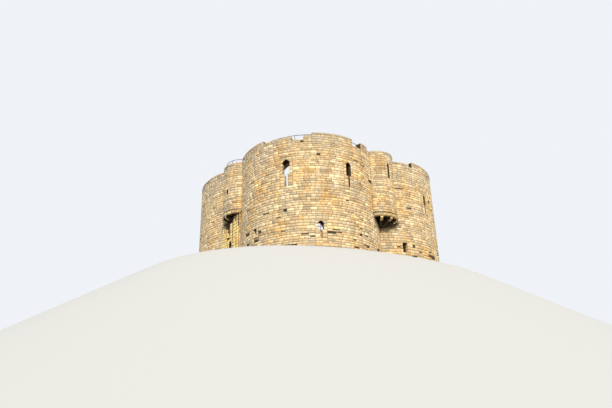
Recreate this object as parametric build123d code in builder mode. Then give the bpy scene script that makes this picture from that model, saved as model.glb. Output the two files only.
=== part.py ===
from build123d import *
import os
from math import cos, degrees, radians, sin, sqrt
from typing import NamedTuple

os.makedirs("parts", exist_ok=True)

# A roofless castle keep of stone: four equal round lobes about a square cross.
# Millimetres, +Z up, the foot of the walls at Z = 0, the plan centre at X = Y = 0, the front lobe towards -Y.
# An azimuth on a lobe is in degrees from its outward axis, positive towards the right of the front and
# rear lobes as seen from outside. The right and left lobes are mirrored, so there it runs the other way.

# Plan of the lobes
LOBE_CENTRE_DISTANCE = 5600.0  # plan centre to each lobe's centre
LOBE_RADIUS = 6400.0  # outer face of the wall
WALL_THICKNESS = 2900.0
COURT_WIDTH = 5600.0  # square middle of the court
SEAT_GAP = 0.3  # between curved faces that meet

# Levels above the foot of the walls
WALK_LEVEL = 9700.0
COURT_FLOOR_THICKNESS = 120.0

# Parapet
PARAPET_THICKNESS = 480.0
MERLON_RISE = 1100.0
LOW_RISE = 800.0
WORN_RISE = 750.0
CRENEL_RISE = 450.0

# Window openings: a shaped throat at the face, a splayed embrasure behind it
THROAT_DEPTH = 500.0
EMBRASURE_CHECK = 140.0  # the embrasure starts this much outside the light, each side
SMALL_HOLE_SPLAY = 220.0  # a small opening grows this much on each side

# Doorway on the axis of the rear lobe
DOOR_WIDTH = 1500.0
DOOR_HEIGHT = 2600.0
DOOR_HEAD_LEVEL = 3400.0  # top of the wall piece over the door
DOOR_SEAT_RISE = 160.0  # foot of that piece above the arch's springing, so that it ends in a seat

# Turrets centred on the four re-entrant corners
TURRET_RADIUS = 1700.0
SCREEN_THICKNESS = 450.0
TURRET_RISE = 850.0  # top above the walk
TURRET_UNDERSIDE = 4500.0
LEFT_TURRET_UNDERSIDE = 5750.0
TURRET_LOOP_WIDTH = 220.0
WALK_SLAB_THICKNESS = 250.0

# Corbel tables under the turrets
CORBEL_RING_HEIGHT = 300.0
CORBEL_RING_PROJECTION = 80.0  # past the screen's face; the broken table at the front left has none
CORBEL_RING_WEATHERING = 60.0  # drop of its sloped top
CORBEL_RING_FILLET = 70.0  # upright edge under the slope
CORBEL_RING_SETBACK = 110.0  # foot of the ring, inside the screen's face
CORBEL_RING_SWELL = 30.0
BRACKET_HEIGHT = 550.0
BRACKET_WIDTH = 260.0
BRACKET_NOSE = 160.0
BRACKET_CURVE = 3200.0
BRACKET_AZIMUTHS = (-35.0, 0.0, 35.0)
LEFT_BRACKET_AZIMUTHS = (-35.0, -5.0)

# Recess under the front left turret, measured out from the corner and across the diagonal
RECESS_DEPTH = 960.0
WIDE_SHAFT_EDGE = 150.0
WIDE_SHAFT_WIDTH = 1110.0
NARROW_SHAFT_CENTRE = -115.0
NARROW_SHAFT_WIDTH = 450.0
NARROW_SHAFT_FOOT = 3110.0
NARROW_SHAFT_HEAD = 4880.0
BROKEN_WALL_THICKNESS = 450.0
RECESS_HOLE_CENTRE = -170.0
RECESS_HOLE_WIDTH = 440.0
RECESS_HOLE_SILL = 2630.0
RECESS_HOLE_HEAD = 2980.0
BROKEN_WALL_END = -2500.0  # inside the left lobe, where the lobe's face trims it
BROKEN_WALL_HEAD = 5000.0
BROKEN_WALL_OUTLINE = [
    (WIDE_SHAFT_EDGE, 0.0),
    (WIDE_SHAFT_EDGE, NARROW_SHAFT_FOOT),
    (-390.0, NARROW_SHAFT_FOOT),
    (-460.0, 3360.0),
    (-700.0, 3420.0),
    (-730.0, 4300.0),
    (-960.0, 4550.0),
    (-1530.0, 4780.0),
    (BROKEN_WALL_END, BROKEN_WALL_HEAD),
    (BROKEN_WALL_END, 0.0),
]

# Guard railings
RAIL_DIAMETER = 48.0
POST_DIAMETER = 42.0
RAIL_OVERHANG = 60.0  # rail past its end posts
RAIL_HEIGHT = 1230.0  # centre of the top rail above the walk
TURRET_RAIL_HEIGHT = 450.0  # above the turret's screen, where its posts stand
RAIL_SETBACK = 70.0  # behind the parapet
POST_SPACING = 1200.0
LONG_RAIL_START = -31.0
LONG_RAIL_END = 9.0
GAP_RAIL_START = 43.0
GAP_RAIL_END = 56.0
TURRET_RAIL_HALF_SWEEP = 60.0

# Barred lights in the ground loops
FRAME_SETBACK = 220.0
FRAME_DEPTH = 60.0
FRAME_BAR = 30.0
CROSS_BAR = 35.0

INNER_RADIUS = LOBE_RADIUS - WALL_THICKNESS
PARAPET_INNER_RADIUS = LOBE_RADIUS - PARAPET_THICKNESS
SCREEN_INNER_RADIUS = TURRET_RADIUS - SCREEN_THICKNESS
TURRET_TOP = WALK_LEVEL + TURRET_RISE
RAIL_LEVEL = WALK_LEVEL + RAIL_HEIGHT
TURRET_RAIL_LEVEL = TURRET_TOP + TURRET_RAIL_HEIGHT
DIAGONAL = 45.0  # from a lobe's heading to a corner's
CORNER = (LOBE_CENTRE_DISTANCE + sqrt(2 * LOBE_RADIUS**2 - LOBE_CENTRE_DISTANCE**2)) / 2  # its X and its Y
CORNER_DISTANCE = CORNER * sqrt(2)
REACH = 2 * (LOBE_CENTRE_DISTANCE + LOBE_RADIUS)  # clears the whole plan from any point in it
CUT_MARGIN = 100.0  # how far a cutter runs past a face


class Lobe(NamedTuple):
    """Heading of a lobe's axis in degrees from +X, and the sense in which its azimuths run."""

    heading: float
    turn: int


class Opening(NamedTuple):
    """One opening: azimuth, clear widths of the light and of the slit below it, and levels."""

    azimuth: float
    light: float
    slit: float
    sill: float
    shoulder: float
    head: float


class Mouth(NamedTuple):
    """Inner end of an embrasure: width, fall of its sill, rise of its head, and shift along the wall."""

    width: float
    sill_drop: float
    head_rise: float
    shift: float


class Turret(NamedTuple):
    """Angle of a turret's diagonal from +X, its underside, its ring, its loop and its brackets."""

    diagonal: float
    underside: float
    ring_projection: float
    loop_azimuth: float
    loop_sill: float
    loop_head: float
    brackets: tuple


LOBES = {
    "front": Lobe(heading=-90.0, turn=1),
    "right": Lobe(heading=0.0, turn=-1),
    "rear": Lobe(heading=90.0, turn=1),
    "left": Lobe(heading=180.0, turn=-1),
}
SIDE_LOBES = ("right", "left")

WIDE_WINDOW = Opening(azimuth=-10.6, light=650.0, slit=320.0, sill=5860.0, shoulder=7010.0, head=8360.0)
NARROW_WINDOW = Opening(azimuth=39.4, light=500.0, slit=150.0, sill=5990.0, shoulder=7010.0, head=8290.0)
SIDE_WINDOW = Opening(azimuth=34.2, light=370.0, slit=130.0, sill=5780.0, shoulder=6630.0, head=7640.0)
GROUND_LOOP = Opening(azimuth=14.65, light=500.0, slit=200.0, sill=1100.0, shoulder=1840.0, head=2580.0)
SQUARE_HOLE = Opening(azimuth=-39.9, light=430.0, slit=430.0, sill=2140.0, shoulder=2140.0, head=2740.0)
OBLONG_HOLE = Opening(azimuth=62.7, light=480.0, slit=480.0, sill=1430.0, shoulder=1430.0, head=2340.0)

WIDE_MOUTH = Mouth(width=1700.0, sill_drop=500.0, head_rise=465.0, shift=-640.0)
NARROW_MOUTH = Mouth(width=1400.0, sill_drop=500.0, head_rise=0.0, shift=0.0)
SIDE_MOUTH = Mouth(width=900.0, sill_drop=500.0, head_rise=0.0, shift=120.0)
LOOP_MOUTH = Mouth(width=1350.0, sill_drop=300.0, head_rise=650.0, shift=0.0)
MOUTH_RUN_ON = 500.0  # a mouth's cut goes on into the room, since the inner face curves away beside it

# Joints between the wall segments of a lobe, by azimuth, and a limit past both ends of a lobe. Openings that run
# obliquely through the wall lie on a joint, so each segment beside them has an open notch.
LEFT_JOINT = SQUARE_HOLE.azimuth
MIDDLE_JOINT = -1.5
RIGHT_JOINT = 26.8
SIDE_WINDOW_JOINT = SIDE_WINDOW.azimuth  # in place of the right joint, on the right and left lobes
OBLONG_JOINT = OBLONG_HOLE.azimuth  # a fourth joint, on the right and left lobes
LOBE_END = 170.0

# Parapet runs of each lobe: azimuth where the run ends, and its rise above the walk
FRONT_RUNS = [
    (-31.0, MERLON_RISE),
    (-6.0, LOW_RISE),
    (3.5, CRENEL_RISE),
    (9.9, WORN_RISE),
    (44.5, MERLON_RISE),
    (54.5, CRENEL_RISE),
    (63.5, MERLON_RISE),
    (LOBE_END, LOW_RISE),
]
RIGHT_RUNS = [
    (-31.0, MERLON_RISE),
    (-24.0, CRENEL_RISE),
    (47.0, MERLON_RISE),
    (50.5, CRENEL_RISE),
    (LOBE_END, WORN_RISE),
]
LEFT_RUNS = [
    (24.0, MERLON_RISE),
    (31.0, CRENEL_RISE),
    (LOBE_END, MERLON_RISE),
]
PARAPET_RUNS = {"front": FRONT_RUNS, "right": RIGHT_RUNS, "rear": FRONT_RUNS, "left": LEFT_RUNS}

TURRETS = {
    "front_right": Turret(
        diagonal=-DIAGONAL,
        underside=TURRET_UNDERSIDE,
        ring_projection=CORBEL_RING_PROJECTION,
        loop_azimuth=1.0,
        loop_sill=7960.0,
        loop_head=9390.0,
        brackets=BRACKET_AZIMUTHS,
    ),
    "rear_right": Turret(
        diagonal=DIAGONAL,
        underside=TURRET_UNDERSIDE,
        ring_projection=CORBEL_RING_PROJECTION,
        loop_azimuth=-1.0,
        loop_sill=7960.0,
        loop_head=9390.0,
        brackets=BRACKET_AZIMUTHS,
    ),
    "rear_left": Turret(
        diagonal=180.0 - DIAGONAL,
        underside=TURRET_UNDERSIDE,
        ring_projection=CORBEL_RING_PROJECTION,
        loop_azimuth=1.0,
        loop_sill=7960.0,
        loop_head=9390.0,
        brackets=BRACKET_AZIMUTHS,
    ),
    "front_left": Turret(
        diagonal=DIAGONAL - 180.0,
        underside=LEFT_TURRET_UNDERSIDE,
        ring_projection=0.0,
        loop_azimuth=8.0,
        loop_sill=7500.0,
        loop_head=7960.0,
        brackets=LEFT_BRACKET_AZIMUTHS,
    ),
}


def polar(centre, radius, angle):
    """Point in plan at a radius and an angle about a centre."""
    return (centre[0] + radius * cos(radians(angle)), centre[1] + radius * sin(radians(angle)))


def lobe_centre(lobe):
    """Centre of a lobe in plan."""
    return polar((0.0, 0.0), LOBE_CENTRE_DISTANCE, lobe.heading)


def bearing(lobe, azimuth):
    """Angle from +X of an azimuth on a lobe."""
    return lobe.heading + lobe.turn * azimuth


def upright_plane(centre, angle, radius, shift=0.0):
    """Plane that faces outwards at a radius about a centre: local X along the face, local Y up."""
    out = polar((0.0, 0.0), 1.0, angle)
    place = polar(centre, radius, angle)
    origin = (place[0] - shift * out[1], place[1] + shift * out[0], 0.0)
    return Plane(origin=origin, x_dir=(-out[1], out[0], 0.0), z_dir=(*out, 0.0))


def slice_sketch(centre, first, last):
    """Plan slice from a centre between two angles, long enough to pass every wall."""
    start, end = sorted((first, last))
    with BuildSketch() as piece:
        with BuildLine():
            rim = CenterArc(centre, REACH, start, end - start)
            Line(centre, rim @ 0)
            Line(rim @ 1, centre)
        make_face()
    return piece.sketch


def lobe_plan(lobe, inner, first, last):
    """Plan of a lobe's ring outside an inner radius, within its own quarter, between two azimuths."""
    quarter = slice_sketch((0.0, 0.0), lobe.heading - DIAGONAL, lobe.heading + DIAGONAL)
    between = slice_sketch(lobe_centre(lobe), bearing(lobe, first), bearing(lobe, last))
    with BuildSketch() as plan:
        with Locations(lobe_centre(lobe)):
            Circle(LOBE_RADIUS)
        add(quarter, mode=Mode.INTERSECT)
        with Locations(lobe_centre(lobe)):
            Circle(inner, mode=Mode.SUBTRACT)
        Rectangle(COURT_WIDTH, COURT_WIDTH, mode=Mode.SUBTRACT)
        add(between, mode=Mode.INTERSECT)
    return plan.sketch


def court_plan(gap):
    """Plan of the room inside the walls: four discs about a square, less a gap."""
    with BuildSketch() as plan:
        Rectangle(COURT_WIDTH - 2 * gap, COURT_WIDTH - 2 * gap)
        with PolarLocations(LOBE_CENTRE_DISTANCE, len(LOBES)):
            Circle(INNER_RADIUS - gap)
    return plan.sketch


def lobe_discs(radius):
    """Plan of the four lobes as full discs."""
    with BuildSketch() as discs:
        with PolarLocations(LOBE_CENTRE_DISTANCE, len(LOBES)):
            Circle(radius)
    return discs.sketch


def arched_face(plane, width, sill, springing):
    """Upright face with straight jambs from the sill to the springing and a round head."""
    half = width / 2
    with BuildSketch(plane) as face:
        with BuildLine():
            Line((half, sill), (-half, sill))
            Line((-half, sill), (-half, springing))
            ThreePointArc((-half, springing), (0, springing + half), (half, springing))
            Line((half, springing), (half, sill))
        make_face()
    return face.sketch


def oblong_face(plane, width, sill, head):
    """Upright rectangle between two levels."""
    with BuildSketch(plane) as face:
        with Locations((0, (sill + head) / 2)):
            Rectangle(width, head - sill)
    return face.sketch


def arched_cutter(lobe, opening, mouth):
    """Void of a keyhole opening: round-headed light over a slit, then a splayed arched embrasure."""
    centre = lobe_centre(lobe)
    angle = bearing(lobe, opening.azimuth)
    springing = opening.head - opening.light / 2
    front = upright_plane(centre, angle, LOBE_RADIUS + CUT_MARGIN)
    back = upright_plane(centre, angle, LOBE_RADIUS - THROAT_DEPTH)
    inside = upright_plane(centre, angle, INNER_RADIUS - CUT_MARGIN, lobe.turn * mouth.shift)
    light = arched_face(front, opening.light, opening.shoulder, springing)
    slit = oblong_face(front, opening.slit, opening.sill, opening.shoulder)
    narrow = arched_face(back, opening.light + 2 * EMBRASURE_CHECK, opening.sill, springing)
    wide = arched_face(inside, mouth.width, opening.sill - mouth.sill_drop, springing + mouth.head_rise)
    with BuildPart() as void:
        extrude(light, amount=-(CUT_MARGIN + THROAT_DEPTH))
        extrude(slit, amount=-(CUT_MARGIN + THROAT_DEPTH))
        loft([narrow, wide], ruled=True)
        extrude(wide, amount=-MOUTH_RUN_ON)
    return void.part


def oblong_cutter(lobe, opening):
    """Void of a small square-headed opening: straight throat, then a splay to the inner face."""
    centre = lobe_centre(lobe)
    angle = bearing(lobe, opening.azimuth)
    front = upright_plane(centre, angle, LOBE_RADIUS + CUT_MARGIN)
    back = upright_plane(centre, angle, LOBE_RADIUS - THROAT_DEPTH)
    inside = upright_plane(centre, angle, INNER_RADIUS - CUT_MARGIN)
    throat = oblong_face(front, opening.light, opening.sill, opening.head)
    narrow = oblong_face(back, opening.light, opening.sill, opening.head)
    wide = oblong_face(
        inside,
        opening.light + 2 * SMALL_HOLE_SPLAY,
        opening.sill - SMALL_HOLE_SPLAY,
        opening.head + SMALL_HOLE_SPLAY,
    )
    with BuildPart() as void:
        extrude(throat, amount=-(CUT_MARGIN + THROAT_DEPTH))
        loft([narrow, wide], ruled=True)
    return void.part


def lobe_cutters(name):
    """Voids of every opening through one lobe's wall."""
    lobe = LOBES[name]
    cutters = [arched_cutter(lobe, WIDE_WINDOW, WIDE_MOUTH), oblong_cutter(lobe, SQUARE_HOLE)]
    if name in SIDE_LOBES:
        cutters.append(arched_cutter(lobe, SIDE_WINDOW, SIDE_MOUTH))
        cutters.append(oblong_cutter(lobe, OBLONG_HOLE))
    else:
        cutters.append(arched_cutter(lobe, NARROW_WINDOW, NARROW_MOUTH))
    if name != "rear":
        cutters.append(arched_cutter(lobe, GROUND_LOOP, LOOP_MOUTH))
    return cutters


def wall_piece(plan, foot, top, cutters):
    """One wall segment: its plan raised between two levels, with the openings cut through it."""
    with BuildPart() as piece:
        extrude(plan, amount=top)
        if foot > 0:
            extrude(plan, amount=foot, mode=Mode.SUBTRACT)
        for cutter in cutters:
            add(cutter, mode=Mode.SUBTRACT)
    return piece


# Walls of the lobes
for lobe_name, lobe in LOBES.items():
    voids = lobe_cutters(lobe_name)
    low_side, high_side = ("left", "right") if lobe.turn > 0 else ("right", "left")
    wall_foot = DOOR_HEAD_LEVEL if lobe_name == "rear" else 0.0
    segments = [
        (f"{low_side}_shoulder", -LOBE_END, LEFT_JOINT, 0.0),
        (f"{low_side}_wall", LEFT_JOINT, MIDDLE_JOINT, wall_foot),
    ]
    if lobe_name in SIDE_LOBES:
        segments.append((f"{high_side}_wall", MIDDLE_JOINT, SIDE_WINDOW_JOINT, 0.0))
        segments.append((f"{high_side}_shoulder", SIDE_WINDOW_JOINT, OBLONG_JOINT, 0.0))
        segments.append((f"{high_side}_corner", OBLONG_JOINT, LOBE_END, 0.0))
    else:
        segments.append((f"{high_side}_wall", MIDDLE_JOINT, RIGHT_JOINT, wall_foot))
        segments.append((f"{high_side}_shoulder", RIGHT_JOINT, LOBE_END, 0.0))
    for segment_name, first, last, foot in segments:
        segment = wall_piece(lobe_plan(lobe, INNER_RADIUS, first, last), foot, WALK_LEVEL, voids)
        segment.part.label = f"{lobe_name}_lobe_{segment_name}"
        export_step(segment.part, f"parts/{segment.part.label}.step")

# Rear doorway: a jamb wall each side, the head wall between them and a threshold
rear = LOBES["rear"]
with BuildSketch() as door_strip:
    with Locations((0, REACH / 2)):
        Rectangle(DOOR_WIDTH, REACH)
with BuildSketch() as door_bay:
    add(lobe_plan(rear, INNER_RADIUS, LEFT_JOINT, RIGHT_JOINT))
    add(door_strip.sketch, mode=Mode.INTERSECT)
door_springing = DOOR_HEIGHT - DOOR_WIDTH / 2
passage_face = upright_plane((0.0, 0.0), rear.heading, REACH / 2)
with BuildPart() as passage:
    extrude(arched_face(passage_face, DOOR_WIDTH, 0.0, door_springing), amount=-REACH / 2)

for jamb_name, first, last in (("left_jamb", LEFT_JOINT, 0.0), ("right_jamb", 0.0, RIGHT_JOINT)):
    with BuildSketch() as jamb_plan:
        add(lobe_plan(rear, INNER_RADIUS, first, last))
        add(door_strip.sketch, mode=Mode.SUBTRACT)
    jamb = wall_piece(jamb_plan.sketch, 0.0, DOOR_HEAD_LEVEL, lobe_cutters("rear"))
    jamb.part.label = f"rear_lobe_{jamb_name}"
    export_step(jamb.part, f"parts/{jamb.part.label}.step")

door_head = wall_piece(door_bay.sketch, door_springing + DOOR_SEAT_RISE, DOOR_HEAD_LEVEL, [passage.part])
door_head.part.label = "rear_lobe_door_head"
export_step(door_head.part, "parts/rear_lobe_door_head.step")

with BuildPart() as door_threshold:
    extrude(door_bay.sketch, amount=COURT_FLOOR_THICKNESS)
door_threshold.part.label = "door_threshold"
export_step(door_threshold.part, "parts/door_threshold.step")

# Court floor
with BuildPart() as court_floor:
    extrude(court_plan(SEAT_GAP), amount=COURT_FLOOR_THICKNESS)
court_floor.part.label = "court_floor"
export_step(court_floor.part, "parts/court_floor.step")

# Parapets, one to a lobe: runs of different height on the outer edge of the walk, ended at the turrets
with BuildSketch() as turret_discs:
    with PolarLocations(CORNER_DISTANCE, len(TURRETS), start_angle=DIAGONAL):
        Circle(TURRET_RADIUS + SEAT_GAP)
for lobe_name, lobe in LOBES.items():
    strips = []
    run_start = -LOBE_END
    for run_end, rise in PARAPET_RUNS[lobe_name]:
        with BuildSketch(Plane.XY.offset(WALK_LEVEL)) as strip:
            add(lobe_plan(lobe, PARAPET_INNER_RADIUS, run_start, run_end))
            add(turret_discs.sketch, mode=Mode.SUBTRACT)
        strips.append((strip.sketch, rise))
        run_start = run_end
    with BuildPart() as parapet:
        for strip_plan, rise in strips:
            extrude(strip_plan, amount=rise)
    parapet.part.label = f"{lobe_name}_lobe_parapet"
    export_step(parapet.part, f"parts/{parapet.part.label}.step")


def turret_centre(turret):
    """Centre of a turret in plan."""
    return polar((0.0, 0.0), CORNER_DISTANCE, turret.diagonal)


def diagonal_plane(turret, level):
    """Level plane about the plan centre: local X outwards along a turret's diagonal."""
    out = polar((0.0, 0.0), 1.0, turret.diagonal)
    return Plane(origin=(0.0, 0.0, level), x_dir=(*out, 0.0), z_dir=(0.0, 0.0, 1.0))


def side_plane(turret, angle):
    """Upright plane through a turret's centre: local X outwards at an angle, local Y up."""
    out = polar((0.0, 0.0), 1.0, angle)
    return Plane(origin=(*turret_centre(turret), 0.0), x_dir=(*out, 0.0), z_dir=(out[1], -out[0], 0.0))


def screen_plan(turret, lobe_face):
    """Plan of a turret's curved screen, outside the lobes' discs of a given radius."""
    with BuildSketch() as plan:
        with Locations(turret_centre(turret)):
            Circle(TURRET_RADIUS)
            Circle(SCREEN_INNER_RADIUS, mode=Mode.SUBTRACT)
        add(lobe_discs(lobe_face), mode=Mode.SUBTRACT)
    return plan.sketch


def walk_slab_plan(turret):
    """Plan of the floor between a turret's screen and the lobes."""
    with BuildSketch() as plan:
        with Locations(turret_centre(turret)):
            Circle(SCREEN_INNER_RADIUS - SEAT_GAP)
        add(lobe_discs(LOBE_RADIUS + SEAT_GAP), mode=Mode.SUBTRACT)
    return plan.sketch


# Walls that the turrets' masonry has to stay clear of
with BuildPart() as lobe_masses:
    extrude(lobe_discs(LOBE_RADIUS + SEAT_GAP), amount=WALK_LEVEL)

# Turret screens: hung on the walls below the walk, standing on them as a parapet above it
for turret_name, turret in TURRETS.items():
    loop_angle = turret.diagonal + turret.loop_azimuth
    loop_plane = upright_plane(turret_centre(turret), loop_angle, TURRET_RADIUS + CUT_MARGIN)
    loop_face = oblong_face(loop_plane, TURRET_LOOP_WIDTH, turret.loop_sill, turret.loop_head)
    hung_plan = screen_plan(turret, LOBE_RADIUS + SEAT_GAP)
    standing_plan = screen_plan(turret, PARAPET_INNER_RADIUS)
    with BuildPart() as screen:
        extrude(hung_plan, amount=TURRET_TOP)
        extrude(standing_plan, amount=TURRET_TOP)
        extrude(lobe_discs(LOBE_RADIUS + SEAT_GAP), amount=WALK_LEVEL, mode=Mode.SUBTRACT)
        extrude(hung_plan, amount=turret.underside, mode=Mode.SUBTRACT)
        extrude(loop_face, amount=-(SCREEN_THICKNESS + 2 * CUT_MARGIN), mode=Mode.SUBTRACT)
    screen.part.label = f"{turret_name}_turret_screen"
    export_step(screen.part, f"parts/{screen.part.label}.step")

# Recess under the front left turret: two shafts and a broken wall with a hole at its foot
recess = TURRETS["front_left"]
recess_face_distance = CORNER_DISTANCE + RECESS_DEPTH
shaft_top = recess.underside - CORBEL_RING_HEIGHT
with BuildSketch(diagonal_plane(recess, 0.0)) as wide_shaft_plan:
    with Locations((recess_face_distance, WIDE_SHAFT_EDGE)):
        Rectangle(RECESS_DEPTH + WIDE_SHAFT_WIDTH, WIDE_SHAFT_WIDTH, align=(Align.MAX, Align.MIN))
with BuildPart() as wide_shaft:
    extrude(wide_shaft_plan.sketch, amount=shaft_top)
    add(lobe_masses.part, mode=Mode.SUBTRACT)
wide_shaft.part.label = "front_left_wide_shaft"
export_step(wide_shaft.part, "parts/front_left_wide_shaft.step")

with BuildSketch(diagonal_plane(recess, NARROW_SHAFT_FOOT)) as narrow_shaft_plan:
    with Locations((recess_face_distance, NARROW_SHAFT_CENTRE)):
        Rectangle(BROKEN_WALL_THICKNESS, NARROW_SHAFT_WIDTH, align=(Align.MAX, Align.CENTER))
with BuildPart() as narrow_shaft:
    extrude(narrow_shaft_plan.sketch, amount=NARROW_SHAFT_HEAD - NARROW_SHAFT_FOOT)
narrow_shaft.part.label = "front_left_narrow_shaft"
export_step(narrow_shaft.part, "parts/front_left_narrow_shaft.step")

recess_face = upright_plane((0.0, 0.0), recess.diagonal, recess_face_distance)
with BuildSketch(recess_face) as broken_outline:
    with BuildLine():
        Polyline(BROKEN_WALL_OUTLINE, close=True)
    make_face()
    with Locations((RECESS_HOLE_CENTRE, (RECESS_HOLE_SILL + RECESS_HOLE_HEAD) / 2)):
        Rectangle(RECESS_HOLE_WIDTH, RECESS_HOLE_HEAD - RECESS_HOLE_SILL, mode=Mode.SUBTRACT)
with BuildPart() as broken_wall:
    extrude(broken_outline.sketch, amount=-BROKEN_WALL_THICKNESS)
    add(lobe_masses.part, mode=Mode.SUBTRACT)
broken_wall.part.label = "front_left_broken_wall"
export_step(broken_wall.part, "parts/front_left_broken_wall.step")

# Corbel tables: a moulded ring under each screen, carried on brackets that run back to the walls
for turret_name, turret in TURRETS.items():
    ring_foot = turret.underside - CORBEL_RING_HEIGHT
    bracket_foot = ring_foot - BRACKET_HEIGHT
    foot_radius = TURRET_RADIUS - CORBEL_RING_SETBACK
    nose_radius = TURRET_RADIUS + turret.ring_projection
    nose_level = turret.underside - CORBEL_RING_WEATHERING * turret.ring_projection / CORBEL_RING_PROJECTION
    with BuildSketch(side_plane(turret, turret.diagonal)) as ring_section:
        with BuildLine():
            Polyline(
                (SCREEN_INNER_RADIUS, ring_foot),
                (SCREEN_INNER_RADIUS, turret.underside),
                (TURRET_RADIUS, turret.underside),
            )
            if turret.ring_projection > 0:
                Line((TURRET_RADIUS, turret.underside), (nose_radius, nose_level))
            edge_foot = (nose_radius, nose_level - CORBEL_RING_FILLET)
            Line((nose_radius, nose_level), edge_foot)
            SagittaArc(edge_foot, (foot_radius, ring_foot), -CORBEL_RING_SWELL)
            Line((foot_radius, ring_foot), (SCREEN_INNER_RADIUS, ring_foot))
        make_face()
    bracket_sections = []
    for azimuth in turret.brackets:
        with BuildSketch(side_plane(turret, turret.diagonal + azimuth)) as bracket_section:
            with BuildLine():
                Line((0.0, bracket_foot), (0.0, ring_foot))
                Line((0.0, ring_foot), (foot_radius, ring_foot))
                Line((foot_radius, ring_foot), (foot_radius, ring_foot - BRACKET_NOSE))
                RadiusArc((foot_radius, ring_foot - BRACKET_NOSE), (0.0, bracket_foot), BRACKET_CURVE)
            make_face()
        bracket_sections.append(bracket_section.sketch)
    with BuildPart() as corbels:
        revolve(ring_section.sketch, axis=Axis((*turret_centre(turret), 0.0), (0.0, 0.0, 1.0)))
        for section in bracket_sections:
            extrude(section, amount=BRACKET_WIDTH / 2, both=True)
        add(lobe_masses.part, mode=Mode.SUBTRACT)
    corbels.part.label = f"{turret_name}_turret_corbels"
    export_step(corbels.part, f"parts/{corbels.part.label}.step")

# Walk slabs of the four turrets
with BuildPart() as turret_walk_slabs:
    for turret in TURRETS.values():
        extrude(walk_slab_plan(turret), amount=WALK_LEVEL)
        extrude(walk_slab_plan(turret), amount=WALK_LEVEL - WALK_SLAB_THICKNESS, mode=Mode.SUBTRACT)
turret_walk_slabs.part.label = "turret_walk_slabs"
export_step(turret_walk_slabs.part, "parts/turret_walk_slabs.step")


def railing(centre, radius, first, last, foot, rail_level):
    """Guard rail on an arc in plan, with posts between two levels."""
    start, end = sorted((first, last))
    spaces = max(1, round(radius * radians(end - start) / POST_SPACING))
    post_places = [polar(centre, radius, start + (end - start) * n / spaces) for n in range(spaces + 1)]
    overhang = degrees(RAIL_OVERHANG / radius)
    with BuildLine(Plane.XY.offset(rail_level)) as route:
        CenterArc(centre, radius, start - overhang, end - start + 2 * overhang)
    with BuildSketch(Plane(origin=route.line @ 0, z_dir=route.line % 0)) as tube:
        Circle(RAIL_DIAMETER / 2)
    with BuildSketch(Plane.XY.offset(foot)) as post_feet:
        with Locations(*post_places):
            Circle(POST_DIAMETER / 2)
    with BuildPart() as guard:
        sweep(tube.sketch, path=route.line)
        extrude(post_feet.sketch, amount=rail_level - foot)
    return guard


# Railings of the front lobe and of the front left turret
front = LOBES["front"]
rail_radius = PARAPET_INNER_RADIUS - RAIL_SETBACK
for rail_name, first, last in (
    ("front_lobe_long_railing", LONG_RAIL_START, LONG_RAIL_END),
    ("front_lobe_gap_railing", GAP_RAIL_START, GAP_RAIL_END),
):
    rail_start, rail_end = bearing(front, first), bearing(front, last)
    lobe_rail = railing(lobe_centre(front), rail_radius, rail_start, rail_end, WALK_LEVEL, RAIL_LEVEL)
    lobe_rail.part.label = rail_name
    export_step(lobe_rail.part, f"parts/{rail_name}.step")

turret_rail = railing(
    turret_centre(recess),
    (SCREEN_INNER_RADIUS + TURRET_RADIUS) / 2,
    recess.diagonal - TURRET_RAIL_HALF_SWEEP,
    recess.diagonal + TURRET_RAIL_HALF_SWEEP,
    TURRET_TOP,
    TURRET_RAIL_LEVEL,
)
turret_rail.part.label = "front_left_turret_railing"
export_step(turret_rail.part, "parts/front_left_turret_railing.step")

# Barred lights in the ground loops: an iron frame with one upright and one cross bar
light_springing = GROUND_LOOP.head - GROUND_LOOP.light / 2
light_sill = GROUND_LOOP.shoulder
bar_level = (light_sill + GROUND_LOOP.head) / 2
clear_width = GROUND_LOOP.light - 2 * SEAT_GAP
barred_width = clear_width - 2 * FRAME_BAR
with BuildSketch() as frame_face:
    add(arched_face(Plane.XY, clear_width, light_sill, light_springing))
    add(arched_face(Plane.XY, barred_width, light_sill + FRAME_BAR, light_springing), mode=Mode.SUBTRACT)
    add(oblong_face(Plane.XY, CROSS_BAR, light_sill + FRAME_BAR / 2, GROUND_LOOP.head - FRAME_BAR / 2))
    with Locations((0, bar_level)):
        Rectangle(barred_width + FRAME_BAR, CROSS_BAR)
with BuildPart() as loop_window_frames:
    for lobe_name, lobe in LOBES.items():
        if lobe_name != "rear":
            loop_bearing = bearing(lobe, GROUND_LOOP.azimuth)
            bay = upright_plane(lobe_centre(lobe), loop_bearing, LOBE_RADIUS - FRAME_SETBACK)
            extrude(bay * frame_face.sketch, amount=-FRAME_DEPTH)
loop_window_frames.part.label = "loop_window_frames"
export_step(loop_window_frames.part, "parts/loop_window_frames.step")
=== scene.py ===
"""Dressing of a roofless four-lobed stone keep: facings, copings, flags, rail fixings and a pale stage."""

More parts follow.
